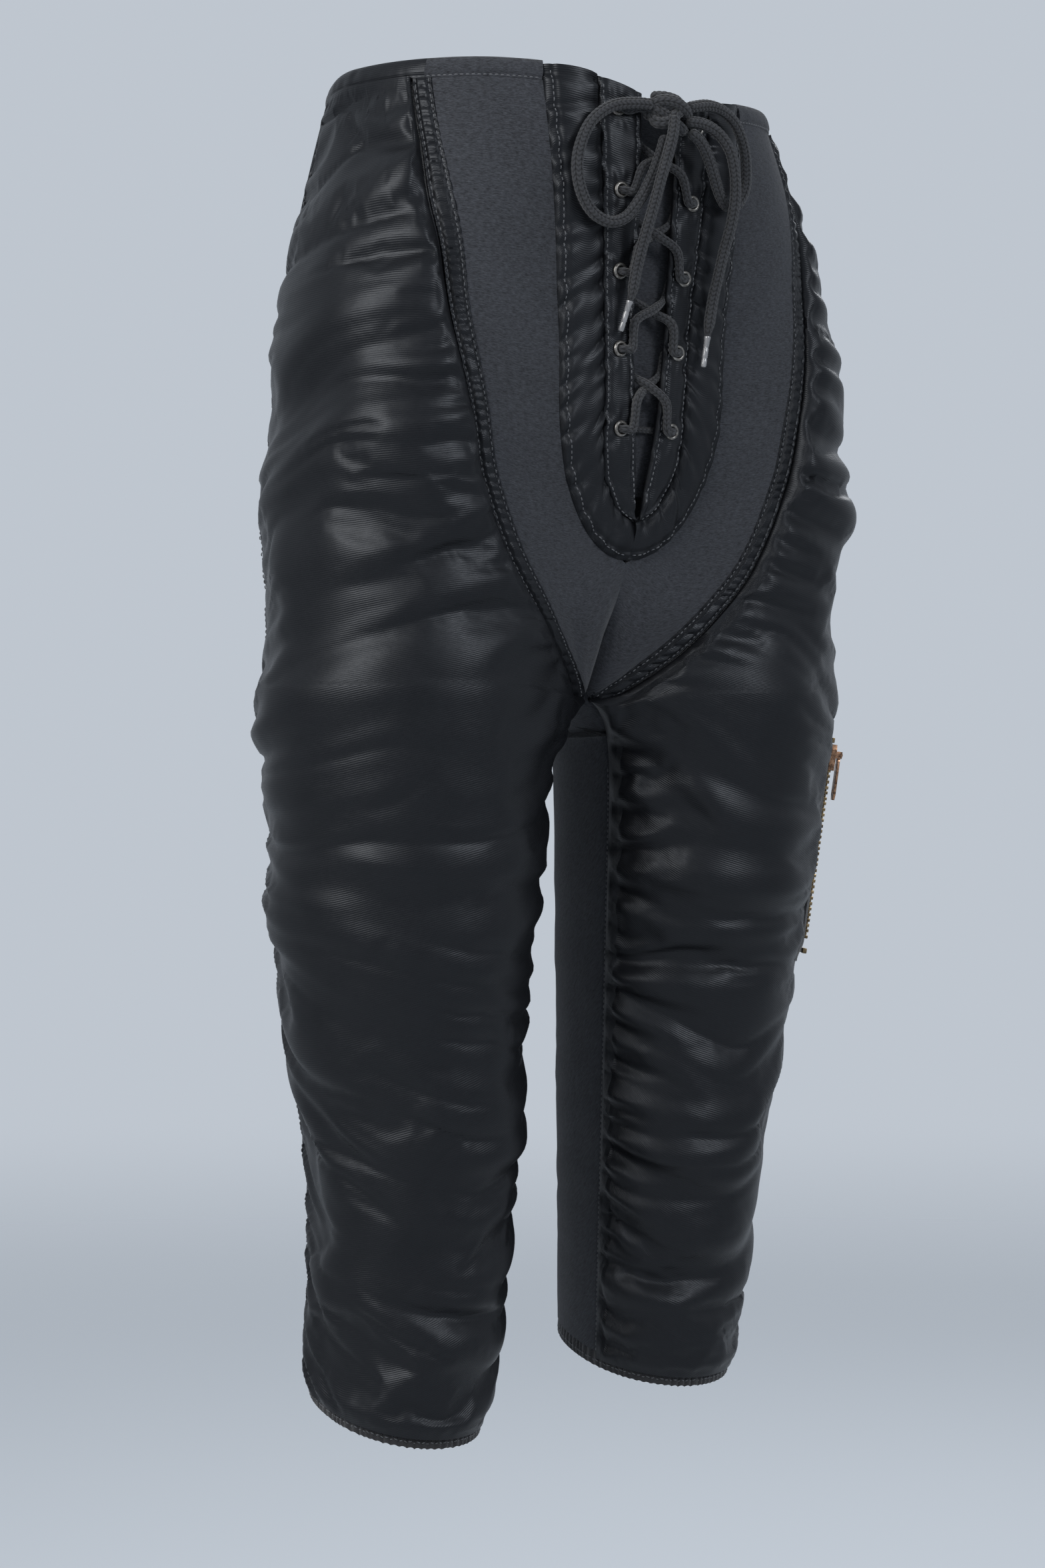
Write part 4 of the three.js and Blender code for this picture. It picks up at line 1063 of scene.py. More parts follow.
turn = np.radians(np.linspace(GUSSET_FIRST, GUSSET_LAST, 60))[:, None]
across = np.linspace(-GUSSET_HALF, GUSSET_HALF, 40)[None, :] + 0 * turn
centre = np.stack([across, 0 * across, 0 * across + GUSSET_CENTRE], -1)
ray = np.stack([0 * across, -np.cos(turn) + 0 * across, -np.sin(turn) + 0 * across], -1)
sunk = GUSSET_SINK * (1 - smooth((np.degrees(turn) - GUSSET_FIRST) / 35))
outer = centre + ray * (np.minimum(reach(centre, ray), GUSSET_MOST) - sunk)[..., None]
inner = outer - ray * GUSSET_THICK
made = closed_panel("crotch_gusset", outer, inner)
finish_piece(made, FELT_CLOTH, [])
declare_sheet(outer)

# %% Back panels
back_grids = {}
for word, side in SIDES.items():
    low = hem_height(side) + 3
    upper = rows_between(BACK_TOP + 0.8, CROTCH + 8, 3)
    lower = rows_between(CROTCH - 8, low, 3)
    z = np.r_[upper, lower]
    first = side_angle(side, z)
    inside = 360.0 + INSIDE_ANGLE
    last = np.r_[
        back_angle(side, -0.4, upper), inside - degrees_of(0.1, side, inside + 0 * lower, lower)
    ]
    shape = (len(z), 84)
    soft = wobble(shape, (17, 16), 21 + side)
    drag = wobble(shape, (5, 30), 25 + side)
    centre = np.clip(z - CROTCH, 0, 30)[:, None] / 30

    def back_face(share, level, soft=soft, drag=drag, centre=centre):
        edge = rounded_edge(share * 160, 3) * rounded_edge((1 - share) * 160, 3)
        seam_dip = centre * np.exp(-(((1 - share) * 150 / 5) ** 2))
        calm = smooth(np.minimum(share, 1 - share) * 8)
        knee = np.exp(-(((level + 545) / 70) ** 2))
        folds = (0.5 * soft + (0.35 + 0.9 * knee) * drag) * calm
        return GAP + 1.2 + (FELT - 1.2) * edge + folds - 1.1 * seam_dip

    outer, inner = span(side, z, first, last, shape[1], back_face, flat(GAP - 0.6))
    made = closed_panel(f"back_felt_{word}", outer, inner)
    finish_piece(made, FELT_CLOTH, [f"back_panel_{word}"])
    declare_sheet(outer)
    back_grids[side] = outer

# %% [markdown]
# ## Front seam bands
# Between a pad and its yoke runs a narrow band with a stitch row down each edge. The seam is
# tighter than the cloth, so little bars of cloth stand across it like the rungs of a ladder. Each
# rung is a low round in the grid, at an uneven pitch, and the stitch rows lie in two furrows.

# %% Seam bands with their rungs
def uneven_phase(z, pitch, unevenness, seed):
    """A phase that gains one turn per pitch on average, sped up and slowed down."""
    source = np.random.default_rng(seed)
    places = np.linspace(z.min() - 1, z.max() + 1, 24)
    shift = np.interp(z, places, source.uniform(-unevenness, unevenness, 24))
    return 2 * math.pi * (z / pitch + shift)


stitch_lines = {"front_seams": [], "fly": [], "waist": [], "sides": [], "hems": []}
for word, side in SIDES.items():
    z = rows_between(-BINDING_HEIGHT + 0.6, SEAM_END - 3, 0.8)
    first, last = seam_angles(side, z, SEAM_WIDTH / 2 + 0.5)
    columns = 19
    phase = uneven_phase(z, 5.4, 0.9, 41 + side)[:, None]
    lean = wobble((len(z), columns), (7, 5), 43 + side)

    def band_face(share, level, phase=phase, lean=lean):
        width = share * (SEAM_WIDTH + 1)
        body = rounded_edge(np.minimum(width, SEAM_WIDTH + 1 - width), 1.6)
        furrows = np.exp(-(((width - 2.0) / 0.8) ** 2)) + np.exp(-(((width - 9.0) / 0.8) ** 2))
        between = smooth((width - 2.0) / 1.4) * smooth((9.0 - width) / 1.4)
        rung = np.abs(np.sin(phase / 2 + 0.5 * lean)) ** 0.8
        outside = 0.35 * np.sin(phase + 1) * (1 - between)
        return GAP + 2.2 + 1.1 * body - 0.75 * furrows + 1.1 * rung * between + outside * body

    outer, inner = span(side, z, first, last, columns, band_face, flat(GAP))
    made = closed_panel(f"seam_band_nylon_{word}", outer, inner)
    finish_piece(made, NYLON, [f"seam_band_{word}"])
    stitch_lines["front_seams"] += [outer[:, 3], outer[:, 15]]
    print(made.name, len(made.data.polygons), "faces")

# %% [markdown]
# ## Waist binding
# The waist edge is rolled over and stitched down: nylon over the pads, felt over the yokes and the
# backs. A roll is a half round in section, with small puckers where the stitches pull, and the two
# joints at the seams are butted.

# %% Rolled waist
top = -GAP / 2
for word, side in SIDES.items():
    fly_edge = float(front_angle(side, fly_half(top) - 1, top))
    seam = float(front_angle(side, seam_across(top), top))
    joint = float(side_angle(side, top))
    centre_back = float(back_angle(side, -0.3, top))
    spans = {
        "yoke": (fly_edge, seam, FELT_CLOTH, "stretch_felt"),
        "pad": (seam, joint, NYLON, "pad_nylon"),
        "back": (joint, centre_back, FELT_CLOTH, "stretch_felt"),
    }
    for number, (part, (start, end, cloth, slot)) in enumerate(spans.items()):
        z = rows_between(0.0, -BINDING_HEIGHT, 0.8)
        columns = int((end - start) * 1.35) + 6
        lean = wobble((len(z), columns), (9, 5), 61 + side * 3 + number)
        pulls = wobble((1, columns), (1, 4), 71 + side * 3 + number)
        firm = 1.0 if part == "pad" else 0.45

        def roll(share, level, lean=lean, pulls=pulls, firm=firm):
            height = -level / BINDING_HEIGHT
            arch = np.sqrt(np.maximum(1 - (2 * height - 1) ** 2, 0.0))
            furrow = np.exp(-(((height - 0.86) / 0.07) ** 2))
            pucker = (0.55 * lean + 0.5 * pulls) * firm * smooth(height * 2)
            return GAP + 1.2 + (BINDING - 1.2) * arch ** 0.8 + pucker - 0.7 * furrow

        outer, inner = span(side, z, start, end, columns, roll, flat(GAP - 0.4))
        made = closed_panel(f"waist_roll_{part}_{word}", outer, inner)
        finish_piece(made, cloth, [f"waist_binding_{part}_{word}"])
        stitch_lines["waist"].append(outer[-3, 1:-1])

# %% [markdown]
# ## The fly
# The fly is a padded U: an outer band that ruffles along both of its curved seams, and two
# plackets that stand over a felt tongue on either side of a slit. The band is laid out along the U
# by length, so its ruffles always cross it. Its outer edge is rolled like piping. The plackets
# carry the eyelets, and their holes are cut with a Boolean.

# %% Points along a U
def u_line(top_half, low_half, drop, rounding, first, count):
    start = drop - rounding
    turn = np.linspace(0, math.pi / 2, 80)
    z = np.r_[np.linspace(first, -start, 80, endpoint=False), -(start + rounding * np.sin(turn))]
    x = u_half(z, top_half, low_half, drop, rounding)
    run = np.r_[0, np.cumsum(np.hypot(np.diff(x), np.diff(z)))]
    even = np.linspace(0, run[-1], count)
    return np.interp(even, run, x), np.interp(even, run, z)


def ruffles(length, share, reach_in, seed, pitch=(8, 17)):
    """Creases that cross a band from its two seams, as a height."""
    source = np.random.default_rng(seed)
    height = np.zeros(np.broadcast_shapes(length.shape, share.shape))
    for end, inwards in ((0, share), (1, 1 - share)):
        here = 4.0
        while here < float(length.max()):
            depth = source.uniform(0.7, 1.9)
            thin = source.uniform(1.7, 3.0)
            long = source.uniform(0.35, 0.95) * reach_in
            drift = source.uniform(-5, 5)
            off = length - here - drift * inwards
            wide = thin * (1 + 1.1 * inwards)
            valley = np.exp(-((off / wide) ** 2))
            ridge = np.exp(-(((off - 1.9 * wide) / (1.6 * wide)) ** 2))
            height += depth * np.exp(-((inwards / long) ** 2)) * (0.6 * ridge - valley)
            here += source.uniform(*pitch)
    return height


# %% Fly bands
BAND_ROWS, BAND_COLUMNS = 210, 30
for word, side in SIDES.items():
    near_x, near_z = u_line(
        PLACKET_TOP_HALF, PLACKET_LOW_HALF, PLACKET_DROP, PLACKET_ROUND, -3.0, BAND_ROWS
    )
    far_x, far_z = u_line(FLY_TOP_HALF, FLY_LOW_HALF, FLY_DROP, FLY_ROUND, -3.0, BAND_ROWS)
    share = np.linspace(0, 1, BAND_COLUMNS)[None, :]
    x = mix(near_x[:, None], far_x[:, None], share)
    z = mix(near_z[:, None], far_z[:, None], share)
    middle_x, middle_z = (near_x + far_x) / 2, (near_z + far_z) / 2
    run = np.r_[0, np.cumsum(np.hypot(np.diff(middle_x), np.diff(middle_z)))]
    width = np.hypot(far_x - near_x, far_z - near_z)[:, None]
    folds = ruffles(run[:, None], share, 0.55, 81 + side)
    meeting = smooth(x / 7)
    outside = (1 - share) * width
    body = rounded_edge(share * width, 2.6) * rounded_edge(outside, 2.4)
    furrow = np.exp(-(((outside - 5.0) / 1.1) ** 2))
    furrow = furrow + 0.6 * np.exp(-(((share * width - 2) / 1.2) ** 2))
    puff = mix(6.3, 3.1, share) + 2.9 * np.sin(math.pi * share) ** 0.7 * smooth(outside / 5)
    lift = puff + 1.2 * body * (0.6 + 0.4 * meeting) + folds * (0.25 + 0.75 * body) * 1.5
    lift = np.maximum(lift - 0.9 * furrow - 0.9 * (1 - meeting), 3.0)
    outer = straight_on(side * np.maximum(x, 0.02), z, lift)
    inner = straight_on(side * np.maximum(x, 0.02), z, GAP)
    made = closed_panel(f"fly_padding_{word}", outer, inner)
    finish_piece(made, NYLON, [f"fly_band_{word}"])
    stitch_lines["fly"].append(outer[2:-2, int(BAND_COLUMNS * 0.84)])
    print(made.name, len(made.data.polygons), "faces")


# %% Eyelet seats, plackets and their holes
def unit(v):
    return v / np.linalg.norm(v)


EYELETS = 5
EYELET_ACROSS, EYELET_LEAN = 26, 2.2  # of the top pair, and how much nearer each pair below is
EYELET_TOP, EYELET_PITCH, EYELET_HOLE = 17, 42, 2.95


def eyelet_seat(side, row):
    across, z = EYELET_ACROSS - EYELET_LEAN * row, -(EYELET_TOP + EYELET_PITCH * row)
    face = straight_on(side * across, z, placket_over(across, z))
    under = straight_on(side * across, z, placket_under(across, z))
    return across, z, face, under, unit(face - under)


def drop_of(point):
    """How far the settled waist moves one point, so that a rigid part can follow it."""
    return settle(point) - point


def drill(made, places, radius):
    for place, out in places:
        bpy.ops.object.select_all(action="DESELECT")
        bpy.ops.mesh.primitive_cylinder_add(vertices=28, radius=radius * MM, depth=14 * MM)
        tool = bpy.context.object
        turn = Vector((0, 0, 1)).rotation_difference(Vector(out)).to_matrix().to_4x4()
        tool.data.transform(Matrix.Translation(Vector(place) * MM) @ turn)
        make_active(made)
        cut = made.modifiers.new("hole", "BOOLEAN")
        cut.object = tool
        cut.operation = "DIFFERENCE"
        cut.solver = "EXACT"
        bpy.ops.object.modifier_apply(modifier=cut.name)
        bpy.data.objects.remove(tool)


PLACKET_ROWS, PLACKET_COLUMNS = 150, 22
for word, side in SIDES.items():
    far_x, far_z = u_line(
        PLACKET_TOP_HALF, PLACKET_LOW_HALF, PLACKET_DROP, PLACKET_ROUND, -3.6, PLACKET_ROWS
    )
    near_z = np.linspace(-3.6, -PLACKET_DROP + 0.5, PLACKET_ROWS)
    near_x = np.maximum(slit_half(near_z), 0.15)
    share = np.linspace(0, 1, PLACKET_COLUMNS)[None, :]
    x = mix(near_x[:, None], far_x[:, None], share)
    z = mix(near_z[:, None], far_z[:, None], share)
    width = np.maximum(far_x - near_x, 2)[:, None]
    edge = rounded_edge(share * width, 2.2) * rounded_edge((1 - share) * width, 3.4)
    furrow = np.exp(-(((share * width - 3.4) / 0.9) ** 2)) + np.exp(
        -((((1 - share) * width - 2.6) / 0.9) ** 2)
    )
    folds = ruffles(-z, share, 0.4, 91 + side, pitch=(13, 27)) * 0.85
    folds += 0.35 * wobble(x.shape, (9, 7), 95 + side)
    seat = np.zeros_like(x)
    pinch = np.zeros_like(x)
    for row in range(EYELETS):
        across, at_z, *_ = eyelet_seat(side, row)
        away = np.hypot(x - across, z - at_z)
        seat = np.maximum(seat, np.exp(-((away / 6.5) ** 4)))
        spoke = np.cos(7 * np.arctan2(z - at_z, x - across) + row)
        pinch += 0.45 * (spoke * np.exp(-(((away - 8) / 3.5) ** 2)))
    puff = 1.1 * np.sin(math.pi * np.clip(share, 0, 1)) ** 0.8 * smooth(width / 12)
    proud = (puff + folds + pinch) * (1 - seat) + 0.45 * seat
    base = placket_over(x, z)
    lift = base - 1.3 * (1 - edge) + proud * smooth(edge * 1.4) - 0.75 * furrow * (1 - seat)
    outer = straight_on(side * x, z, lift)
    inner = straight_on(side * x, z, np.minimum(placket_under(x, z), lift - 0.5))
    made = closed_panel(f"placket_padding_{word}", outer, inner)
    seats = [eyelet_seat(side, row) for row in range(EYELETS)]
    drill(made, [(face + drop_of(face), out) for _, _, face, _, out in seats], EYELET_HOLE)
    make_active(made)
    bpy.ops.object.shade_smooth_by_angle(angle=math.radians(50))
    finish_piece(made, NYLON, [f"placket_{word}"])
    stitch_lines["fly"] += [outer[2:-6, 3], outer[2:-2, PLACKET_COLUMNS - 3]]

# %% Felt tongue behind the slit
z = rows_between(-3, -PLACKET_DROP + 12, 3)
half = np.minimum(20, placket_half(z) - 2)
share = np.linspace(-1, 1, 26)[None, :]
x = half[:, None] * share
level = z[:, None] + 0 * x
soft = 0.3 * wobble(x.shape, (12, 8), 101)
outer = straight_on(x, level, GAP + 1.1 + soft)
inner = straight_on(x, level, GAP + 0 * x)
made = closed_panel("tongue_felt", outer, inner)
finish_piece(made, FELT_CLOTH, ["tongue"])
declare_sheet(outer)

# %% [markdown]
# ## Hem elastic
# Inside each hem a band of gathered elastic closes the leg, and a few millimetres of it show. Its
# gathers stand upright, so the ring's lift follows narrow upright rounds at an uneven pitch, and
# its lower edge is scalloped by them.

# %% Gathered rings
HEM_GATHERS = 76

for word, side in SIDES.items():
    hem = hem_height(side)
    columns = 300
    z = rows_between(hem + HEM_HEIGHT - HEM_PEEP - GAP, hem - HEM_PEEP - 1.5, 1.5)
    degrees = np.linspace(0, 360, columns, endpoint=False)[None, :] + 0 * z[:, None]
    level = z[:, None] + 0 * degrees
    source = np.random.default_rng(111 + side)
    uneven = np.r_[source.uniform(-0.5, 0.5, 30), 0]
    uneven = np.interp(degrees, np.linspace(0, 360, 31), uneven)
    phase = 2 * math.pi * (degrees * HEM_GATHERS / 360 + uneven)
    low = smooth((hem + 6 - level) / 8)
    gather = np.abs(np.sin(phase / 2)) ** 0.9
    level = level + low * (1.1 * gather - 0.8)
    outer = on_body(side, degrees, level, GAP + 0.7 + 1.0 * gather + 0.6 * low)
    inner = on_body(side, degrees, level, GAP - 0.5 + 0.5 * gather)
    made = closed_panel(f"hem_gathers_{word}", outer, inner, ring_shaped=True)
    finish_piece(made, TAPE, [f"hem_elastic_{word}"])
    stitch_lines["hems"].append(np.vstack([outer[-3], outer[-3, :1]]))

# %% Side seams and inner leg seams: a stitch row on the felt beside each pad
for side in SIDES.values():
    grid = back_grids[side]
    stitch_lines["sides"].append(grid[:, 1])
    stitch_lines["sides"].append(grid[-int(len(grid) * 0.5) :, -2])
    stitch_lines["sides"].append(pad_lines[side][3:-2, -3])

for seam, lines in stitch_lines.items():
    made = stitch_row(f"stitches_{seam}", lines)
    print(made.name, len(made.data.polygons), "faces")

# %% [markdown]
# ## Eyelets
# An eyelet is a stamped grommet: a barrel through the cloth, a domed flange in front and a washer
# behind. One profile is drawn as edges and spun about its axis, and each seat gets its own copy.

# %% One eyelet, spun from its profile
def spun(name, profile, steps=40):
    """A closed ring or cap: an edge profile (radius, height) spun about Z, in millimetres."""
    mesh = bpy.data.meshes.new(name)
    points = [(r * MM, 0, h * MM) for r, h in profile]
    mesh.from_pydata(points, [(k, k + 1) for k in range(len(points) - 1)], [])
    made = bpy.data.objects.new(name, mesh)
    scene.collection.objects.link(made)
    make_active(made)
    bpy.ops.object.mode_set(mode="EDIT")
    bpy.ops.mesh.select_all(action="SELECT")
    bpy.ops.mesh.spin(steps=steps, angle=2 * math.pi, center=(0, 0, 0), axis=(0, 0, 1))
    bpy.ops.mesh.select_all(action="SELECT")
    bpy.ops.mesh.remove_doubles(threshold=2e-6)
    bpy.ops.mesh.normals_make_consistent(inside=False)
    bpy.ops.object.mode_set(mode="OBJECT")
    bpy.ops.object.shade_smooth_by_angle(angle=math.radians(45))
    return made


def copy_to(model, name, place, out, turn=0.0):
    """A copy of a model that stands on a place, with its Z axis along out."""
    made = bpy.data.objects.new(name, model.data.copy())
    scene.collection.objects.link(made)
    aim = Vector((0, 0, 1)).rotation_difference(Vector(out)).to_matrix().to_4x4()
    spin = Matrix.Rotation(turn, 4, "Z")
    made.data.transform(Matrix.Translation(Vector(place) * MM) @ aim @ spin)
    return made


EYELET = [
    (2.55, 1.25), (2.75, 1.62), (3.2, 1.82), (3.75, 1.75), (4.25, 1.4), (4.5, 0.9), (4.45, 0.62),
    (3.9, 0.66), (2.9, 0.7), (2.82, 0.2), (2.82, -3.2), (3.1, -3.42), (4.5, -3.42), (4.5, -4.1),
    (2.5, -4.1), (2.5, -2.0), (2.55, 1.25),
]
eyelet_model = spun("eyelet_model", EYELET)
for word, side in SIDES.items():
    for row in range(EYELETS):
        _, _, face, _, out = eyelet_seat(side, row)
        made = copy_to(
            eyelet_model, f"eyelet_{word}_{row + 1}_ring", face + drop_of(face), out, row * 1.3
        )
        finish_piece(made, SILVER, [f"eyelet_{word}_{row + 1}"])
bpy.data.objects.remove(eyelet_model)
print("eyelets:", 2 * EYELETS)

# %% [markdown]
# ## Laces
# The lace is a soft braided cord. Its plait is real shape: six columns of stacked Vs run down it,
# with a groove between columns, made by moving the radius of a fine tube in and out. The runs are
# squeezed thinner where they pass an eyelet, and end under the knot. The bow's loops and tails
# follow the routes that a tied lace takes.

# %% Smooth routes
def route(points, step):
    """A smooth line through points, in even steps, in millimetres."""
    p = np.asarray(points, float)
    knots = np.r_[0, np.cumsum(np.sqrt(np.linalg.norm(np.diff(p, axis=0), axis=1)))]
    slope = np.empty_like(p)
    gaps = np.diff(knots)[:, None]
    pace = np.diff(p, axis=0) / gaps
    slope[0], slope[-1] = pace[0], pace[-1]
    slope[1:-1] = (pace[:-1] * gaps[1:] + pace[1:] * gaps[:-1]) / (gaps[:-1] + gaps[1:])
    fine = np.linspace(0, knots[-1], 60 * len(p))
    i = np.clip(np.searchsorted(knots, fine, side="right") - 1, 0, len(p) - 2)
    h = knots[i + 1] - knots[i]
    t = ((fine - knots[i]) / h)[:, None]
    h = h[:, None]
    line = (
        (2 * t**3 - 3 * t**2 + 1) * p[i] + (t**3 - 2 * t**2 + t) * h * slope[i]
        + (3 * t**2 - 2 * t**3) * p[i + 1] + (t**3 - t**2) * h * slope[i + 1]
    )
    run = run_along(line)
    even = np.linspace(0, run[-1], max(int(run[-1] / step), 8) + 1)
    return points_at(line, run, even)


def frames_along(line):
    """Tangent and two sides at each point, carried along without twist."""
    tangent = np.gradient(line, axis=0)
    tangent /= np.linalg.norm(tangent, axis=1, keepdims=True)
    side = np.cross(tangent[0], [0.3, -1, 0.2])
    sides = []
    for way in tangent:
        side = side - way * side.dot(way)
        side = side / np.linalg.norm(side)
        sides.append(side)
    sides = np.array(sides)
    return tangent, sides, np.cross(tangent, sides)


def braided(name, line, radius, around=36, flatten=1.0, ease_ends=(2.0, 2.0)):
    """A braided cord along a line, with its radius at every point of it."""
    tangent, side, up = frames_along(line)
    run = run_along(line)
    radius = np.broadcast_to(np.asarray(radius, float), run.shape)
    turn = np.linspace(0, 2 * math.pi, around, endpoint=False)
    column = (turn * PLAIT_COLUMNS / (2 * math.pi)) % 1
    local = np.abs(column - 0.5)
    phase = run[:, None] / PLAIT_PITCH + local[None, :] * PLAIT_SLANT
    bead = np.abs(np.cos(math.pi * phase)) ** 0.7
    groove = np.exp(-(((0.5 - local) / 0.13) ** 2)) + 0.45 * np.exp(-((local / 0.1) ** 2))
    swell = 1 + 0.1 * (bead - 0.55) - 0.11 * groove[None, :]
    r = radius[:, None] * swell
    tip = np.minimum(run / ease_ends[0], (run[-1] - run) / ease_ends[1])
    r *= (0.45 + 0.55 * np.sqrt(np.clip(tip, 0, 1)))[:, None]
    ring_points = (
        line[:, None, :] + side[:, None, :] * (r * np.cos(turn))[..., None]
        + up[:, None, :] * (r * np.sin(turn) * flatten)[..., None]
    )
    rows = len(line)
    ids = np.arange(rows * around).reshape(rows, around)
    ids = np.concatenate([ids, ids[:, :1]], axis=1)
    corner = [ids[:-1, :-1], ids[:-1, 1:], ids[1:, 1:], ids[1:, :-1]]
    faces = np.stack([c.ravel() for c in corner], -1).tolist()
    faces += [ids[0, :-1].tolist(), ids[-1, :-1].tolist()]
    across = np.broadcast_to(turn * 3.0 * MM, (rows, around))
    flat = np.stack([across, np.broadcast_to(run[:, None] * MM, (rows, around))], -1)
    made = new_object(name, ring_points.reshape(-1, 3) * MM, faces, flat.reshape(-1, 2))
    return point_outwards(made, 80)


# %% The two runs through the eyelets
def lace_run(start, lift):
    points, girth = [], []

    def pass_by(point, radius):
        points.append(point)
        girth.append(radius)

    clear, washer = 1.8, 1.5
    if start == LEFT:
        across, z, *_ = eyelet_seat(start, EYELETS - 1)
        for step in (across - 6, 0):
            pass_by(straight_on(-step, z, placket_under(step, z) - washer - clear), 1.7)
    side = start
    for row in range(EYELETS - 1, -1, -1):
        across, z, face, under, out = eyelet_seat(side, row)
        inward = unit(straight_on(0, z) - straight_on(side * across, z))
        back = -float(np.linalg.norm(face - under)) - washer
        stations = [
            (back - clear, 4.6, 1.6), (back - clear + 0.4, 1.3, 1.7), (back, 0, 1.9),
            (washer - 0.2, 0, 2.05), (washer + clear - 0.1, 1.2, 2.2),
            (washer + clear + 0.6, 4.9, 2.45),
        ]
        for height, aside, r in stations:
            pass_by(face + out * height + inward * aside, r)
        if row == 0:
            break
        _, next_z, *_ = eyelet_seat(-side, row - 1)
        near, middle, far = (mix(z, next_z, s) for s in (0.36, 0.54, 0.72))
        edge = slit_half(near)
        over = placket_over(edge, near) + clear + 1.1
        pass_by(straight_on(side * (edge + 1.5), near, over), 2.5)
        lift_here = placket_under(0, middle) + PLACKET / 2 + 0.6 + lift * 1.2
        pass_by(straight_on(0, middle, lift_here), 2.5)
        beneath = placket_under(0, far) - clear - GAP
        pass_by(straight_on(-side * (slit_half(far) + 1), far, beneath), 1.9)
        side = -side
    pass_by(straight_on(side * 16.8, -14, 14), 2.5)
    pass_by(straight_on(side * 10.2, -12, 14.5), 2.5)
    return np.array(points), np.array(girth)


for word, start, lift in (("right", RIGHT, -1.8), ("left", LEFT, 1.8)):
    points, girth = lace_run(start, lift)
    points = settle(points)
    line = route(points, 0.55)
    nearest = np.linalg.norm(line[:, None] - points[None], axis=-1)
    weight = 1 / (nearest + 0.3) ** 3
    radius = (weight * girth).sum(1) / weight.sum(1)
    made = braided(f"lace_run_{word}_braid", line, radius, around=30)
    finish_piece(made, LACE, [f"lace_run_{word}"])
    print(made.name, len(made.data.polygons), "faces")

# %% The bow's loops and tails: across the body, down from the waist, and off the body
LACE_RADIUS = 3.2
BOW = {
    "lace_loop_right": [
        [-11.4, 11, 19], [-21, 14, 18], [-33, 20, 16], [-44, 30, 15], [-51, 42, 15],
        [-54, 54, 15], [-52, 66, 15], [-45, 75, 15], [-35, 78, 16], [-26, 74, 17],
        [-19, 64, 19], [-13, 52, 20], [-8, 38, 21], [-5, 26, 22],
    ],
    "lace_loop_left": [
        [10.4, 8, 20], [24, 6, 19], [36, 9, 18], [46, 16, 17], [53, 27, 16], [56, 40, 15],
        [55, 51, 15], [50, 59, 15], [42, 60, 16], [35, 54, 18], [29, 44, 20], [23, 34, 22],
        [16, 26, 24], [9, 22, 25],
    ],
    "lace_tail_right": [
        [-2, 15, 26], [-5, 26, 28.6], [-9, 40, 29], [-12, 52, 28], [-14, 64, 26], [-16, 76, 24],
        [-17, 88, 21], [-18, 100, 19], [-19, 112, 18], [-20, 118, 17],
    ],
    "lace_tail_left": [
        [8, 16, 23], [18, 17, 24], [27, 22, 25], [34, 31, 26], [38, 43, 26], [40, 56, 25],
        [40, 70, 23], [39, 84, 20], [38, 98, 18], [37, 112, 16], [36, 126, 15], [35, 134, 15],
    ],
}


def off_body(stations):
    return settle(np.array([straight_on(across, -drop, lift) for across, drop, lift in stations]))


# %% Aglets, spun and crimped
AGLET = [
    (0, 0), (1.75, 0), (1.85, 0.35), (1.85, 1.2), (1.6, 2.0), (1.56, 5.4), (1.38, 5.8), (1.38, 6.4),
    (1.56, 6.8), (1.55, 11.4), (1.38, 11.8), (1.38, 12.4), (1.55, 12.8), (1.5, 16.1), (1.2, 16.8),
    (0.7, 17.0), (0, 17.0),
]
aglet_model = spun("aglet_model", AGLET, steps=24)
for name, stations in BOW.items():
    line = route(off_body(stations), 0.5)
    run = run_along(line)
    tail = "tail" in name
    squeeze = smooth((run[-1] - run) / 9) if tail else np.ones_like(run)
    radius = mix(1.6, LACE_RADIUS, squeeze) * (1 + 0.02 * np.sin(run / 9))
    ease_ends = (2.0, 0.5 if tail else 2.0)
    made = braided(f"{name}_braid", line, radius, flatten=0.9, ease_ends=ease_ends)
    finish_piece(made, LACE, [name])
    if tail:
        word = name.split("_")[-1]
        way = unit(line[-1] - line[-4])
        tip = copy_to(aglet_model, f"aglet_{word}_tip", line[-1] - way * 0.8, way)
        finish_piece(tip, TIP, [f"aglet_{word}"])
bpy.data.objects.remove(aglet_model)

# %% The knot: one wrap round the middle and two strands that cross under it
KNOT_RADIUS = 3.15
KNOT_STRANDS = [
    [[-8.5, 17, 12], [-10.5, 12, 16], [-8, 8, 21], [-2, 7, 24.5], [4, 9, 24.5], [9, 12, 21.5],
     [10.8, 16, 17], [8.5, 18.5, 12.5]],
    [[-12.5, 9, 15.5], [-8, 12.5, 19.5], [-1, 16, 21], [5, 20, 21.5], [9.5, 20, 17.5], [7, 15, 13.5]],
    [[12.5, 9, 15.5], [7.5, 9.5, 20], [1, 13, 23], [-4, 18.5, 23.5], [-8.5, 19.5, 19.5], [-8, 14, 14]],
    [[-9, 5.5, 14], [-4, 4.5, 19], [3, 5, 19.5], [9, 6.5, 15]],
]
strands = []
for number, stations in enumerate(KNOT_STRANDS):
    strands.append(braided(f"knot_strand_{number}", route(off_body(stations), 0.5), KNOT_RADIUS))
finish_piece(join_pieces("lace_knot_turns", strands), LACE, ["lace_knot"])

# %% [markdown]
# ## The thigh zip
# The zip lies on the outside of the left thigh in its own frame: x across, y up and z out of the
# leg. Its tapes are woven, and each tooth is a small pressed jaw with a rounded nose, modelled once
# and copied down both rows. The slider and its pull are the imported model's own parts: a copy of
# each is merged and its edges are bevelled.

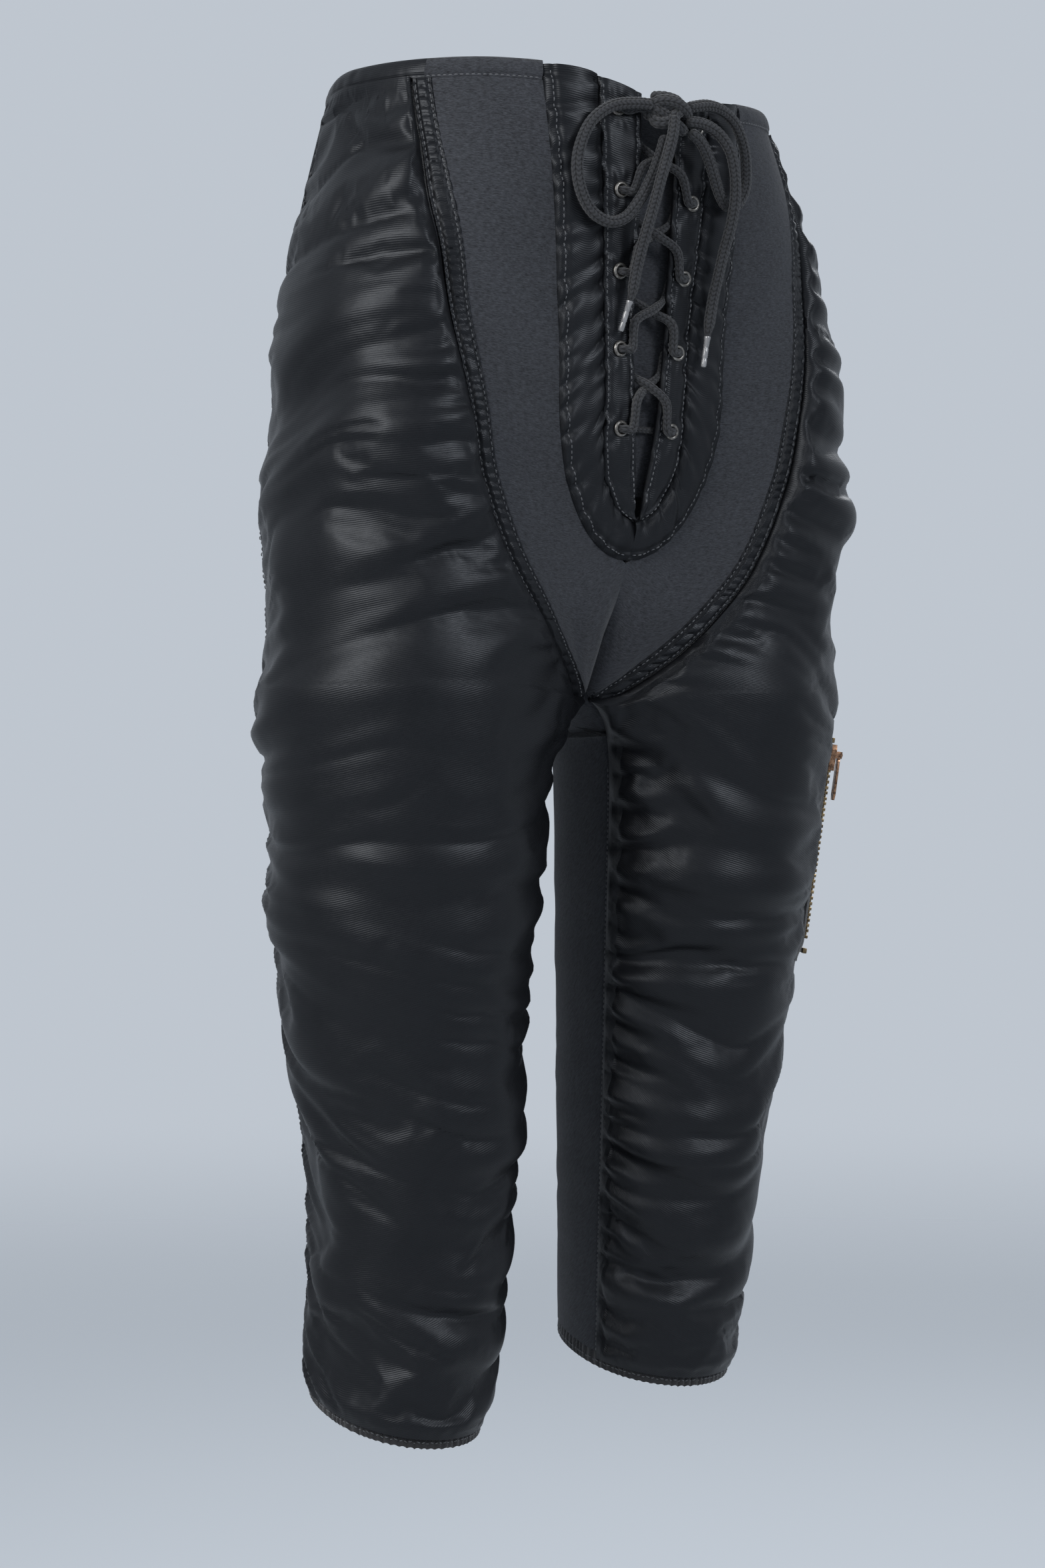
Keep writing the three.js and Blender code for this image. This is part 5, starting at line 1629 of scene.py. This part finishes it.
# %% The zip's frame
ZIP_BED = GAP + LINING + GAP + WADDING_EDGE + WADDING_SWELL * 0.55 + 2 * GAP + SHELL + 0.6
ZIP_PITCH, TAPE_WIDTH, TAPE_THICK, CHAIN = 3.2, 11, 0.9, 2
CHAIN_BASE = TAPE_THICK + 0.3
CHAIN_TOP = CHAIN_BASE + CHAIN
zip_top = on_body(LEFT, ZIP_ANGLE, -ZIP_TOP_DROP, ZIP_BED)
zip_low = on_body(LEFT, ZIP_ANGLE, -ZIP_TOP_DROP - ZIP_LENGTH, ZIP_BED)
zip_up = unit(zip_top - zip_low)
zip_out = normal_at(on_body(LEFT, ZIP_ANGLE, -ZIP_TOP_DROP - ZIP_LENGTH / 2))
zip_out = unit(zip_out - zip_up * zip_out.dot(zip_up))
zip_across = np.cross(zip_up, zip_out)
ZIP_PLACE = Matrix.Translation(Vector(zip_top) * MM) @ Matrix(
    np.stack([zip_across, zip_up, zip_out], -1).tolist()
).to_4x4()


def primitive_box(name, low, high, bevel=0.0, segments=2):
    """A box between two corners in millimetres, with bevelled edges, still in the zip's frame."""
    bpy.ops.object.select_all(action="DESELECT")
    bpy.ops.mesh.primitive_cube_add(size=1)
    made = bpy.context.object
    made.name = name
    low, high = np.array(low, float), np.array(high, float)
    size = Matrix.Diagonal((*((high - low) * MM), 1))
    made.data.transform(Matrix.Translation(Vector((low + high) / 2) * MM) @ size)
    if bevel:
        bpy.ops.object.mode_set(mode="EDIT")
        bpy.ops.mesh.select_all(action="SELECT")
        bpy.ops.mesh.bevel(offset=bevel * MM, segments=segments, affect="EDGES")
        bpy.ops.object.mode_set(mode="OBJECT")
    return made


def place_zip_part(made, material, nodes, body="garment", angle=40):
    made.data.transform(ZIP_PLACE)
    make_active(made)
    bpy.ops.object.shade_smooth_by_angle(angle=math.radians(angle))
    return finish_piece(made, material, nodes, body)


# %% Tapes, with a rounded bead along the chain
ZIP_END = 8


def in_zip_frame(grid):
    return zip_top + grid @ np.stack([zip_across, zip_up, zip_out])


for word, side in (("front", -1), ("back", 1)):
    y = rows_between(ZIP_END, -ZIP_LENGTH - ZIP_END, 1.2)
    share = np.linspace(0, 1, 16)[None, :]
    x = side * (1.7 + TAPE_WIDTH * share) + 0 * y[:, None]
    ripple = 0.22 * wobble(x.shape, (9, 6), 121 + side)
    bead = 0.55 * np.exp(-(((share - 0.12) / 0.1) ** 2))
    groove = 0.2 * np.exp(-(((share - 0.55) / 0.05) ** 2))
    height = TAPE_THICK + bead + ripple * smooth(share * 4) - groove
    past_chain = smooth((np.abs(y + ZIP_LENGTH / 2) - ZIP_LENGTH / 2 + 4) / 11)[:, None]
    drop_off = 2.3 * smooth((share - 0.45) / 0.55) + 2.6 * past_chain
    grid = np.stack([x, y[:, None] + 0 * x, height - drop_off + 0 * x], -1)
    under = np.stack([x, y[:, None] + 0 * x, 0 * x - drop_off], -1)
    made = closed_panel(f"zip_tape_{word}_weave", in_zip_frame(grid), in_zip_frame(under))
    finish_piece(made, TAPE, [f"zip_tape_{word}"])

# %% Teeth: a jaw that grips the tape's bead, and a nose that meets the other row
for word, side in (("front", -1), ("back", 1)):
    shift = 0 if side > 0 else ZIP_PITCH / 2
    count = int((ZIP_LENGTH - ZIP_PITCH) / ZIP_PITCH)
    source = np.random.default_rng(131 + side)
    teeth = []
    jaw = primitive_box("jaw", (1.5, -0.95, CHAIN_BASE - 0.5), (4.3, 0.95, CHAIN_TOP), 0.32)
    nose = primitive_box("nose", (-1.4, -0.68, CHAIN_BASE), (2.0, 0.68, CHAIN_TOP - 0.3), 0.3)
    model = join_pieces("tooth_model", [jaw, nose])
    if side < 0:
        model.data.transform(Matrix.Diagonal((-1, 1, 1, 1)))
        model.data.flip_normals()
    for k in range(count):
        tooth = bpy.data.objects.new("tooth", model.data.copy())
        scene.collection.objects.link(tooth)
        lean = Matrix.Rotation(source.uniform(-0.07, 0.07), 4, "Z")
        down = Vector((source.uniform(-0.12, 0.12), -(shift + 1.25 + k * ZIP_PITCH), 0)) * MM
        tooth.data.transform(Matrix.Translation(down) @ lean)
        teeth.append(tooth)
    bpy.data.objects.remove(model)
    row = join_pieces(f"zip_teeth_{word}_row", teeth)
    place_zip_part(row, BRASS, [f"zip_teeth_{word}"])
    print(row.name, count, "teeth")

# %% Stops
for word, side in (("front", -1), ("back", 1)):
    a, b = sorted((side * 1.2, side * 4.4))
    corners = (a, 0.4, CHAIN_BASE), (b, 3.4, CHAIN_TOP)
    stop = primitive_box(f"zip_top_stop_{word}_crimp", *corners, 0.45, 3)
    place_zip_part(stop, BRASS, [f"zip_top_stop_{word}"])
stop = primitive_box(
    "zip_bottom_stop_crimp", (-4.4, -ZIP_LENGTH - 3.4, CHAIN_BASE),
    (4.4, -ZIP_LENGTH - 0.4, CHAIN_TOP + 0.6), 0.5, 3,
)
place_zip_part(stop, BRASS, ["zip_bottom_stop"])


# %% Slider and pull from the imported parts
def bevelled_copy(node, name, width, material, body):
    made = bpy.data.objects.new(name, bpy.data.objects[node].data.copy())
    scene.collection.objects.link(made)
    make_active(made)
    bpy.ops.object.mode_set(mode="EDIT")
    bpy.ops.mesh.select_all(action="SELECT")
    bpy.ops.mesh.remove_doubles(threshold=1e-6)
    bpy.ops.mesh.dissolve_limited(angle_limit=math.radians(2))
    bpy.ops.object.mode_set(mode="OBJECT")
    soft = made.modifiers.new("edges", "BEVEL")
    soft.width = width * MM
    soft.segments = 3
    soft.limit_method = "ANGLE"
    soft.angle_limit = math.radians(32)
    bpy.ops.object.modifier_apply(modifier=soft.name)
    bpy.ops.object.shade_smooth_by_angle(angle=math.radians(40))
    return finish_piece(made, material, [node], body)


bevelled_copy("zip_slider", "zip_slider_body", 0.28, COPPER, "zip_slider")
bevelled_copy("zip_pull", "zip_pull_tab", 0.25, COPPER, "zip_pull")

visual_box = [list(corner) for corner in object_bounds()]
grown = [
    (round((c[0] - v[0]) * 1000, 1), round((v[1] - c[1]) * 1000, 1))
    for c, v in zip(zip(*cad_box), zip(*visual_box))
]
print("stands proud of the packed box by (low, high) mm on x, y, z:", grown)
